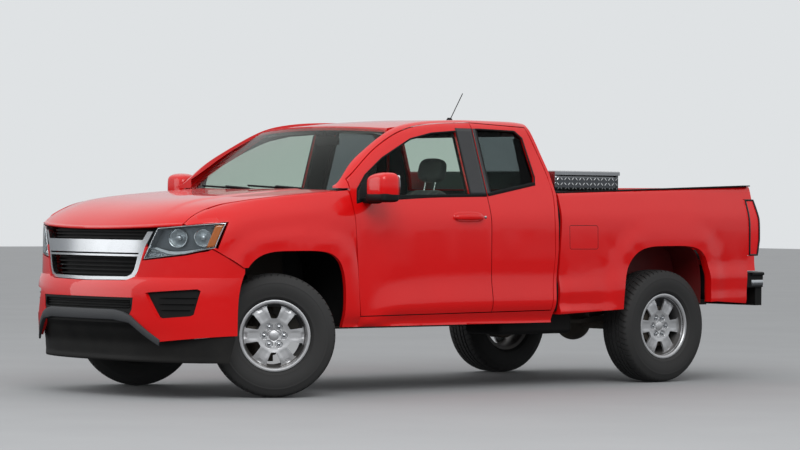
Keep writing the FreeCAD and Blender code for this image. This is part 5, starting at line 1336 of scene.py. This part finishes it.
def coordinates(data: bpy.types.Mesh) -> Array:
    """Reads a mesh's points in metres."""
    places = np.zeros(len(data.vertices) * 3)
    data.vertices.foreach_get("co", places)
    return places.reshape(-1, 3)


def apply_modifiers(piece: bpy.types.Object) -> None:
    """Replaces a piece's mesh with its finished one."""
    graph = bpy.context.evaluated_depsgraph_get()
    data = bpy.data.meshes.new_from_object(piece.evaluated_get(graph))
    old = piece.data
    piece.modifiers.clear()
    piece.data = data
    bpy.data.meshes.remove(old)


def sewn(piece: bpy.types.Object, seams: Sequence[tuple[int, float]], depth: float = 5.0,
         half: float = 9.0) -> None:
    """Presses sewn channels into a pad.

    Args:
        piece: the pad.
        seams: axis that a channel crosses, and where, in millimetres from the pad's middle.
        depth: how deep a channel is.
        half: half its width.
    """
    places = coordinates(piece.data)
    middle = (places.min(axis=0) + places.max(axis=0)) / 2
    near = np.zeros(len(places))
    for axis, place in seams:
        away = np.abs(places[:, axis] - middle[axis] - place * MM) / (half * MM)
        near = np.maximum(near, np.exp(-away ** 2))
    normals = np.zeros(len(places) * 3)
    piece.data.vertices.foreach_get("normal", normals)
    places -= normals.reshape(-1, 3) * near[:, None] * depth * MM
    piece.data.vertices.foreach_set("co", places.ravel())


@dataclass(frozen=True)
class Pad:
    """One stuffed piece of a seat: a crowned closed form that leans with the seat."""

    name: str
    middle: tuple[float, float, float]
    size: tuple[float, float, float]
    lean: float
    bolster: float
    seams: tuple[tuple[int, float], ...]
    fill: float = 0.7
    power: float = 4.5
    large: float = 300.0
    voxels: tuple[float, float] = (8.0, 10.5)

    def form(self) -> Array:
        """Builds the pad upright in its own axes, with raised side bolsters, then leans it back."""
        x, y, z = np.moveaxis(solid_box((0, 0, 0), self.size, self.power, 25, 64), -1, 0)
        outer = ease((np.abs(y) / (self.size[1] / 2) - 0.55) / 0.3)
        if self.size[0] > self.size[2]:
            z = z + self.bolster * outer * (z > 0)
        else:
            x = x + self.bolster * outer * (x > 0)
            y = y * (1 - 0.10 * ease(z / self.size[2] + 0.1))
        return turned(stack(x, y, z), self.lean, (0, 1, 0)) + self.middle

    def build(self, node: str) -> None:
        """Builds the pad."""
        piece = surface(self.name, self.form(), wrap=(False, True), capped=True)
        plump(piece, self.voxels[max(self.size) > self.large])
        sewn(piece, self.seams)
        piece.data.shade_smooth()
        settle(piece, CLOTH, Belongs(nodes=(node,)))


@dataclass(frozen=True)
class Seats:
    """Two front seats with head restraints and two small folding seats behind."""

    across: float = 360.0
    rear_across: float = 330.0
    front_x: float = 316.5
    rear_x: float = -453.5
    channel: float = 128.0
    rear_channel: float = 110.0
    rod_step: float = 50.0

    def front(self, side_name: str, y: float) -> None:
        """Builds one front seat."""
        x, seat = self.front_x, Belongs(nodes=("front_seats",))
        channels = ((1, -self.channel), (1, self.channel))
        for pad in (Pad("seat_cushion_" + side_name, (x + 262, y, 742), (500, 478, 112), -5.5, 16.0,
                        channels + ((0, 60.0),)),
                    Pad("seat_back_" + side_name, (x - 86, y, 1024), (104, 462, 590), -13.5, 18.0, channels),
                    Pad("head_rest_" + side_name, (x - 178, y, 1425), (88, 236, 158), -13.0, 0.0, (),
                        0.8, 3.6)):
            pad.build(*seat.nodes)
        for number, sign in enumerate((-1, 1)):
            place = y + sign * self.rod_step
            rod = np.array([(x - 150, place, 1280), (x - 170, place, 1370)])
            points = sweep(rod, rounded(12, 12, 2, 12), (0, 1, 0))
            closed("head_rod_%s_%d" % (side_name, number), points, CHROME, seat)
        base = solid_box((x + 210, y, 648), (430, 400, 108), 7.0, 11, 32)
        closed("seat_base_" + side_name, base, TRIM, seat)

    def rear(self, side_name: str, y: float) -> None:
        """Builds one folding rear seat."""
        x, seat = self.rear_x, Belongs(nodes=("rear_seats",))
        channels = ((1, -self.rear_channel), (1, self.rear_channel))
        for pad in (Pad("rear_cushion_" + side_name, (x + 222, y, 758), (300, 420, 74), -2.0, 4.0, channels),
                    Pad("rear_back_" + side_name, (x + 82, y, 1020), (48, 420, 400), -3.5, 4.0, channels)):
            pad.build(*seat.nodes)
        base = solid_box((x + 205, y, 658), (240, 380, 120), 7.0, 11, 32)
        closed("rear_seat_base_" + side_name, base, TRIM, seat)

    def build(self) -> None:
        """Builds all four seats."""
        for side_name, sign in (("left", 1), ("right", -1)):
            self.front(side_name, sign * self.across)
            self.rear(side_name, sign * self.rear_across)


@dataclass(frozen=True)
class SteeringWheel:
    """Padded rim, three spokes and a hub cover, tilted to the driver; the column is (place, radius)."""

    place: tuple[float, float, float] = (771.5, 360.0, 1090.0)
    tilt: float = -66.0
    radius: float = 178.0
    spoke_turns: tuple[float, ...] = (0.0, 130.0, 230.0)
    spoke: tuple[tuple[float, float, float], ...] = ((46, 0, -12), (110, 0, -9), (172, 0, -2))
    column: tuple[tuple[float, float], ...] = ((-16, 44), (20, 40), (100, 32), (108, 24))

    def build(self) -> None:
        """Builds the wheel in place of its plain solid."""
        turn = np.arange(72) * 2 * math.pi / 72
        path = stack(self.radius * np.cos(turn), self.radius * np.sin(turn), 0 * turn)
        spoke = sweep(np.array(self.spoke), rounded(42, 14, 3, 12))
        parts = [("rim", ring_sweep(path, rounded(27, 30, 2, 14), (0, 0, 1)), DASH, True),
                 ("hub", solid_box((0, 0, -8), (118, 150, 44), 3.0, 13, 32), TRIM, False)]
        parts += [("spoke_%d" % number, turned(spoke, angle), TRIM, False)
                  for number, angle in enumerate(self.spoke_turns)]
        parts += [("column", turned(revolve(self.column, 32), -90, (1, 0, 0)), TRIM, False)]
        for name, points, finish, ring in parts:
            closed("wheel_" + name, turned(points, self.tilt, (0, 1, 0)) + self.place, finish,
                   Belongs("steering_wheel", ("steering_wheel",)), ring)


# Heights of the cab's back wall and their distances behind the front axle
CAB_BACK = ((428, 2190), (672, 2214), (904, 2237), (1127, 2237), (1275, 2260), (1414, 2242), (1600, 2188),
            (1716, 2150))


@dataclass(frozen=True)
class Cabin:
    """Dashboard details, headliner, sun visors, inner mirror, wipers and cowl.

    Distances along are behind the front axle. A lining of the back wall is (name, from, to, foot, top), and
    a wiper blade is (start, end) across.
    """

    back_wall: float = 44.0
    outlets: tuple[float, ...] = (-640.0, -170.0, 170.0, 640.0)
    roof_run: tuple[float, float] = (985.0, 2135.0)
    roof_half: float = 590.0
    roof_drop: float = 34.0
    visor_across: float = 330.0
    visor_at: tuple[float, float] = (1065.0, 1672.0)
    mirror_at: tuple[float, float] = (1010.0, 1612.0)
    stem: tuple[tuple[float, float], ...] = ((1010, 1630), (1000, 1660), (985, 1682))
    linings: tuple[tuple[str, float, float, float, float], ...] = (
        ("left", 585, 848, 640, 1640), ("right", -848, -585, 640, 1640), ("middle", -585, 585, 640, 1296))
    cowl_half: float = 780.0
    blades: tuple[tuple[float, float], ...] = ((560, -70), (40, -600))

    def dash(self) -> None:
        """Builds the instrument hood, centre stack, air outlets and glove box lid."""
        outlets = tuple(("air_outlet_%d" % number, (880, y, 1130), (40, 120, 58), 5.0, 9, 32, GLOSS_BLACK)
                        for number, y in enumerate(self.outlets))
        for name, middle, size, power, rings, columns, finish in (
                ("instrument_hood", (960, 360, 1222), (150, 360, 84), 3.0, 13, 40, DASH),
                ("centre_stack", (884, 0, 1050), (90, 300, 300), 5.0, 15, 40, TRIM),
                ("centre_screen", (838, 0, 1136), (8, 214, 120), 8.0, 9, 32, GLOSS_BLACK), *outlets,
                ("glove_box", (898, -410, 1010), (60, 400, 180), 7.0, 11, 40, TRIM),
                ("floor_console", (470, 0, 742), (620, 210, 190), 6.0, 13, 40, TRIM)):
            points = solid_box(middle, size, power, rings, columns)
            closed(name, points, finish, Belongs(slot="interior_plastic"))

    def roof(self) -> None:
        """Builds the headliner and the visors."""
        first, second = grid(np.linspace(0, 1, 30), np.linspace(-1, 1, 25))
        y, (low, high) = second * self.roof_half, self.roof_run
        x = station(low + (high - low) * first)
        lining = stack(x, y, roof_top(x, y) - self.roof_drop - 14 * second ** 6)
        sheet("headliner", lining, HEADLINER, (0, 0, -1), 5.0)
        at, z = self.visor_at
        for number, sign in enumerate((-1, 1)):
            visor = turned(solid_box((0, 0, 0), (150, 380, 16), 5.0, 9, 40), 8, (0, 1, 0))
            closed("sun_visor_%d" % number, visor + (station(at), sign * self.visor_across, z), HEADLINER)

    def mirror(self) -> None:
        """Builds the inner mirror on its stem."""
        middle = (station(self.mirror_at[0]), 0, self.mirror_at[1])
        closed("inner_mirror", solid_box(middle, (34, 238, 66), 3.6, 11, 40), MOULDED)
        y, z = grid(np.linspace(-110, 110, 14), np.linspace(-26, 26, 8))
        sheet("inner_mirror_glass", stack(-18.5 + 0 * y, y, z) + middle, MIRROR_GLASS, (-1, 0, 0), 1.0)
        stem = np.array([(station(at), 0, height) for at, height in self.stem])
        closed("inner_mirror_stem", sweep(stem, rounded(16, 16, 2, 12), (0, 1, 0)), MOULDED)

    def walls(self) -> None:
        """Builds the trim on the cab's back wall and the rear corners, round the back window."""
        for name, low, high, foot, top in self.linings:
            share, z = grid(np.linspace(low, high, 12), np.linspace(foot, top, 24))
            x = station(between(z, CAB_BACK)) + self.back_wall
            limit = side(x, z) - 62
            sheet("back_lining_" + name, stack(x, np.clip(share, -limit, limit), z), TRIM, (1, 0, 0), 3.0)

    def cowl(self) -> None:
        """Builds the black panel at the windscreen's foot, its front edge sunk below the hood's."""
        first, second = grid(np.linspace(0, 1, 10), np.linspace(-1, 1, 41))
        y = second * (745 - 20 * first)
        bow = (y / self.cowl_half) ** 2
        sunk = (8 + 26 * bow) * (1 - first) ** 2
        z = hood_top(station(330), 0 * y) - 14 + 22 * first - 20 * bow - sunk
        sheet("cowl_panel", stack(station(333 + 70 * bow + 62 * first), y, z), MOULDED, (0, 0, 1), 3.0)

    def wipers(self) -> None:
        """Builds the two wipers: a blade along the glass and the arm that carries it."""
        for number, (start, end) in enumerate(self.blades):
            run = np.linspace(0, 1, 30)
            y = start + (end - start) * run
            share = 0.02 + 0.055 * run
            across = y / (self.cowl_half - 140 * share)
            x = station(385 + 55 * across ** 2 + (545 - 15 * across ** 2) * share) + 14
            z = 1268 + 430 * share + 22 * np.sin(math.pi * share) * 0.8 - 24 * across ** 2 * share + 9
            path = stack(x, y, z)
            arm = np.array([path[0] + (8, 14, -14), path[3] + (6, 0, 6), path[15] + (4, 0, 9)])
            for name, line, outline in (("blade", path, (9, 13)), ("arm", arm, (13, 8))):
                points = sweep(line, rounded(*outline, 3, 8), (0.6, 0, 0.8))
                closed("wiper_%s_%d" % (name, number), points, MOULDED)

    def build(self) -> None:
        """Builds the cab's inner and outer small parts."""
        self.dash()
        self.roof()
        self.mirror()
        self.walls()
        self.cowl()
        self.wipers()


BED_FRONT, BED_BACK = 2268.0, 4160.0
FRONT_OF_BED = ((479, -44), (500, -44), (816, -12), (1132, 12), (1400, 18))


@dataclass(frozen=True)
class Bed:
    """Ribbed floor, tailgate skin with its handle, lamps' surrounds, fuel door and bumper details.

    The tailgate's face is (height, place); the lamp's corners are (behind the bed's back, height), the fuel
    door's (behind the front axle, height), and the bumper's plan runs from its middle round its left end.
    """

    floor_z: float = 834.6
    rib_pitch: float = 127.0
    face: tuple[tuple[float, float], ...] = ((836, -16), (1000, -14), (1240, 6), (1332, -2))
    pressing: float = 5.0
    pocket: float = 12.0
    lamp: tuple[tuple[float, float], ...] = (
        (-82, 866), (-82, 1248), (-4, 1248), (16, 1120), (16, 970), (-4, 866))
    fuel: tuple[tuple[float, float], ...] = (
        (2340, 918), (2336, 1061), (2346, 1068), (2584, 1068), (2596, 1058), (2598, 920), (2588, 911),
        (2350, 911))
    shade_sheet_inset: float = 6.0
    shade_sheet_depth: float = 17.0
    plan: tuple[tuple[float, float], ...] = (
        (-2701, 0), (-2701, 520), (-2641, 700), (-2581, 800), (-2475, 905), (-2345, 918))
    bumper_z: float = 733.0
    plate_half: float = 175.0

    def floor(self) -> None:
        """Builds the floor's pressed ribs."""
        x, y = grid(np.linspace(-2290, -540, 24), np.linspace(-508, 508, 205))
        rib = ease((np.sin(y * 2 * math.pi / self.rib_pitch) + 0.35) / 0.5)
        end = ease((x + 2282) / 50) * ease((-548 - x) / 50)
        sheet("floor_ribs", stack(x, y, self.floor_z + 7 * rib * end), LINING, (0, 0, 1), 0.4)

    def tailgate(self) -> None:
        """Builds the tailgate's pressed outer skin and its handle."""
        back = station(BED_BACK)
        y, z = grid(np.linspace(-752, 752, 121), np.linspace(806, 1330, 61))
        x = back + between(z, self.face) - 1.2
        edge = ease((700 - np.abs(y)) / 26) * ease((z - 872) / 26) * ease((1262 - z) / 26)
        pocket = ease((112 - np.abs(y)) / 8) * ease((42 - np.abs(z - 1212)) / 8)
        skin = stack(x - self.pressing * edge + self.pocket * pocket, y, z)
        sheet("tailgate_skin", skin, PAINT, (-1, 0, 0), 1.0, Belongs("tailgate"))
        closed("tailgate_handle", solid_box((back - 6, 0, 1222), (16, 190, 34), 4.0, 9, 32), MOULDED,
               Belongs("tailgate"))

    def surround(self, side_name: str, mirrored: bool) -> None:
        """Builds one tail lamp's surround."""
        path = side_loop([(BED_BACK + back, z) for back, z in self.lamp], 0, -1.5, 12)
        closed("tail_lamp_surround_" + side_name, ring_sweep(path, rounded(14, 18, 3, 8)), GLOSS_BLACK,
               Belongs(mirrored=mirrored), True)

    def fuel_door(self) -> None:
        """Builds the dark gap round the fuel door."""
        gap = ring_sweep(side_loop(self.fuel, 0, 0.0, 14), rounded(3.2, 1.6, 3, 8))
        closed("fuel_door_gap", gap, GLOSS_BLACK, ring=True)

    def gap(self, side_name: str, mirrored: bool) -> None:
        """Builds a black sheet deep in the gap between the cab and the bed: painted shade where the gap is
        dark.
        """
        share, z = grid(np.linspace(0, 1, 4), np.linspace(500, 1268, 40))
        front = between(z, CAB_BACK) - self.shade_sheet_inset
        back = BED_FRONT + between(z, FRONT_OF_BED) + self.shade_sheet_inset
        points = side_patch(station(front + (back - front) * share), z, -self.shade_sheet_depth)
        # Black sheet standing in for the shade inside the gap: painted shade
        sheet("gap_shade_sheet_" + side_name, points, MOULDED, (0, 1, 0), 2.0, Belongs(mirrored=mirrored))

    def bumper(self) -> None:
        """Builds the bumper's steps, blank plate and its bright caps."""
        run = np.array(self.plan, float)
        corners = np.concatenate([run[::-1], run[1:] * (1, -1)])
        x, y = along_path(corners, np.linspace(0, path_length(corners)[-1], 120)).T
        path = stack(x, y, self.bumper_z + 0 * x)
        for name, sign in (("left", 1), ("right", -1)):
            part = path[sign * path[:, 1] > self.plate_half]
            closed("bumper_pad_" + name, sweep(part + (5, 0, 0), rounded(30, 22, 3, 10)), MOULDED)
            closed("bumper_face_" + name, sweep(part + (2, 0, -62), rounded(8, 40, 3, 10)), CHROME)
        y, z = grid(np.linspace(-152, 152, 12), np.linspace(566, 704, 8))
        sheet("blank_plate", stack(-2648 + 0 * y, y, z), PLATE, (-1, 0, 0), 1.2)

    def build(self) -> None:
        """Builds the bed's parts."""
        self.floor()
        self.tailgate()
        self.fuel_door()
        self.bumper()
        for side_name, mirrored in BODY_SIDES:
            self.surround(side_name, mirrored)
            self.gap(side_name, mirrored)


@dataclass(frozen=True)
class ArchFlap:
    """Dark rubber flaps that close the slits between the wheel arches' lips and their liners."""

    ends: tuple[float, float] = (0.13, math.pi - 0.06)
    grow: tuple[float, float] = (16.0, 70.0)
    depth: float = 24.0
    wall: float = 2.0
    curtain: float = 448.0

    def points(self, middle: float, rise: float) -> Array:
        """Builds one left arch's flap: rows round the arch, columns outwards from its lip."""
        turn, grow = grid(np.linspace(*self.ends, 60), np.linspace(*self.grow, 5))
        power = 2 / np.where(turn < math.pi / 2, ARCH_FRONT_POWER, ARCH_REAR_POWER)
        ahead = np.sign(np.cos(turn)) * np.abs(np.cos(turn)) ** power
        x = middle + ahead * (ARCH_REACH * np.where(ahead > 0, ARCH_LEAD, 1.0) + grow)
        z = TYRE_RADIUS + (rise + grow) * np.abs(np.sin(turn)) ** power
        return side_patch(x, z, -self.depth)

    def build(self, side_name: str, mirrored: bool) -> None:
        """Builds the flaps of one side's two arches and the curtain behind the rear wheelhouse."""
        flap = Belongs(mirrored=mirrored)
        for place, middle, rise in (("front", FRONT_AXLE, ARCH_FRONT_RISE),
                                    ("rear", REAR_AXLE, ARCH_REAR_RISE)):
            sheet("arch_flap_%s_%s" % (place, side_name), self.points(middle, rise), MOULDED, (0, 1, 0),
                  self.wall, flap)
        y, z = grid(np.linspace(600, 880, 8), np.linspace(560, 900, 8))
        curtain = stack(REAR_AXLE - self.curtain + 0 * y, y, z)
        sheet("arch_curtain_" + side_name, curtain, MOULDED, (1, 0, 0), self.wall, flap)


@dataclass(frozen=True)
class Toolbox:
    """Diamond-plate skins on the box and its lid, with two latches."""

    rim: float = 1326.0
    off: float = 0.8
    side_off: float = 0.9
    latch_across: float = 420.0
    latch_z: float = 1380.0

    def build(self) -> None:
        """Builds the plates over the CAD box."""
        (low_x, _, _), (high_x, half, _) = np.array(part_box("toolbox")) / MM
        (lid_back, _, lid_foot), (lid_front, _, lid_top) = np.array(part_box("toolbox_lid")) / MM
        x, y = grid(np.linspace(lid_back + 5, lid_front - 5, 20), np.linspace(-half - 3, half + 3, 40))
        top = stack(x, y, lid_top + self.off + 0 * x)
        sheet("lid_plate", top, TREAD_TOP, (0, 0, 1), self.off, Belongs("toolbox_lid"))
        for name, sign in (("left", 1), ("right", -1)):
            x, z = grid(np.linspace(low_x + 1, high_x - 1, 12), np.linspace(self.rim - 24, lid_foot - 1, 6))
            end = stack(x, sign * (half + self.side_off) + 0 * x, z)
            sheet("box_end_" + name, end, TREAD_END, (0, sign, 0), self.off)
            latch = solid_box((low_x - 3, sign * self.latch_across, self.latch_z), (10, 88, 50), 5.0, 9, 24)
            closed("box_latch_" + name, latch, CHROME, Belongs(slot="aluminium"))
        y, z = grid(np.linspace(-half + 1, half - 1, 20), np.linspace(self.rim + 2, lid_foot - 1, 6))
        sheet("box_back", stack(low_x - self.side_off + 0 * y, y, z), TREAD_BACK, (-1, 0, 0), self.off)


SENSOR, PHOTO_WIDTH = 36.0, 800


@dataclass(frozen=True)
class Studio:
    """Pale floor, even sky, two soft lamps and the camera at the photograph's place."""

    camera_at: tuple[float, float, float] = (14.1355, 16.37, 1.175)
    yaw: float = -130.596
    pitch: float = -0.303
    roll: float = 0.4376
    focal_px: float = 3213.68
    lamps: tuple[tuple[str, tuple[float, float, float], float, float], ...] = (
        ("key", (5.5, 8.0, 7.5), 6.0, 560.0), ("fill", (10.5, -7.0, 4.2), 8.0, 300.0))
    lamps_look_at: tuple[float, float, float] = (0.0, 0.0, 0.7)
    floor_half: float = 60.0
    sky_stops: tuple[tuple[float, str], ...] = ((0.485, "#48494b"), (0.515, "#cfd3d7"), (0.78, "#ffffff"))
    sky_strength: float = 0.95
    backdrop: str = "#dfe2e4"

    def camera(self) -> None:
        """Sets the camera from its place, three angles and focal length in pixels of an 800-pixel view."""
        yaw, pitch, roll = (math.radians(angle) for angle in (self.yaw, self.pitch, self.roll))
        ahead = np.array([math.cos(pitch) * math.cos(yaw), math.cos(pitch) * math.sin(yaw), math.sin(pitch)])
        right = np.cross(ahead, (0, 0, 1))
        right /= np.linalg.norm(right)
        top = np.cross(right, ahead)
        axes = (right * math.cos(roll) + top * math.sin(roll), -right * math.sin(roll) + top * math.cos(roll),
                -ahead, self.camera_at)
        data = bpy.data.cameras.new("camera")
        data.sensor_width, data.lens = SENSOR, self.focal_px * SENSOR / PHOTO_WIDTH
        data.clip_end = 200.0
        made = bpy.data.objects.new("camera", data)
        bpy.context.scene.collection.objects.link(made)
        rows = np.eye(4)
        rows[:3] = np.stack(axes, axis=1)
        made.matrix_world = Matrix([[float(value) for value in row] for row in rows])
        bpy.context.scene.camera = made

    def lamp(self, name: str, place: Sequence[float], size: float, power: float) -> None:
        """Adds one square soft lamp that faces the truck."""
        data = bpy.data.lights.new(name, "AREA")
        data.size, data.energy = size, power
        made = bpy.data.objects.new(name, data)
        made.location = place
        back = np.array(place, float) - self.lamps_look_at
        made.rotation_mode = "QUATERNION"
        made.rotation_quaternion = (-Vector(back)).to_track_quat("-Z", "Y")
        bpy.context.scene.collection.objects.link(made)

    def sky(self) -> None:
        """Lights the truck from an even sky, brighter above than below its horizon."""
        world = bpy.data.worlds.new("studio")
        world.use_nodes = True
        tree = world.node_tree
        tree.nodes.clear()
        way = add(tree, "ShaderNodeTexCoord").outputs["Generated"]
        height = add(tree, "ShaderNodeSeparateXYZ", {"Vector": way}).outputs["Z"]
        ramp = add(tree, "ShaderNodeValToRGB", {"Fac": add(tree, "ShaderNodeMapRange", {
            "Value": height, "From Min": -1.0, "From Max": 1.0}).outputs[0]})
        stops = ramp.color_ramp.elements
        stops.new(self.sky_stops[-1][0])
        for stop, (position, colour) in zip(stops, self.sky_stops):
            stop.position, stop.color = position, linear(colour)
        light = add(tree, "ShaderNodeBackground", {"Color": ramp.outputs[0], "Strength": self.sky_strength})
        seen = add(tree, "ShaderNodeBackground", {"Color": linear(self.backdrop), "Strength": 1.0})
        rays = add(tree, "ShaderNodeLightPath")
        mixed = add(tree, "ShaderNodeMixShader", {0: rays.outputs["Is Camera Ray"], 1: light.outputs[0],
                                                  2: seen.outputs[0]})
        add(tree, "ShaderNodeOutputWorld", {"Surface": mixed.outputs[0]})
        bpy.context.scene.world = world

    def build(self) -> None:
        """Builds the stage round the truck."""
        self.camera()
        self.sky()
        for lamp in self.lamps:
            self.lamp(*lamp)
        span = self.floor_half
        corners = [(-span, -span, 0.0), (span, -span, 0.0), (span, span, 0.0), (-span, span, 0.0)]
        data = bpy.data.meshes.new("floor")
        data.from_pydata(corners, [], [(0, 1, 2, 3)])
        floor = bpy.data.objects.new("floor", data)
        floor.data.materials.append(CONCRETE.material())
        bpy.context.scene.collection.objects.link(floor)
        floor.visible_glossy = False
        floor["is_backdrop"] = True


def dress_cad() -> None:
    """Gives each CAD node the finish of its slot."""
    slots = {entry["node"]: entry["material_slot"] for entry in frame["record"]["subparts"]}
    for name, node in frame["nodes"].items():
        finish = DARK_GLASS if name.startswith("door_glass_rear") else CAD_FINISHES[slots[name]]
        if finish is PAINT and (name == "cab_frame" or name.startswith("door_")):
            finish = CAB_PAINT
        node.data.materials.clear()
        node.data.materials.append(finish.material())


def main() -> None:
    """Builds the truck's looks, sub-assembly by sub-assembly."""
    logging.basicConfig(level=logging.INFO, format="%(name)s: %(message)s")
    bpy.context.scene.view_settings.view_transform = "Standard"
    Studio().build()
    dress_cad()
    for wheel in WHEELS:
        Tyre().build(wheel)
        Rim().build(wheel)
        if wheel.name.startswith("front"):
            Brake().build(wheel)
    Hood().build()
    WingTip().build()
    FrontTrim().build()
    for side_name, mirrored in BODY_SIDES:
        Headlamp().build(side_name, mirrored)
        DoorTrim().build(side_name, mirrored)
        Mirror().build(side_name, mirrored)
        ArchFlap().build(side_name, mirrored)
    Seats().build()
    SteeringWheel().build()
    Cabin().build()
    Bed().build()
    Toolbox().build()
    [[list(corner) for corner in box] for box in (CAD_BOUNDS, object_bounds())]


if __name__ == "__main__":
    main()
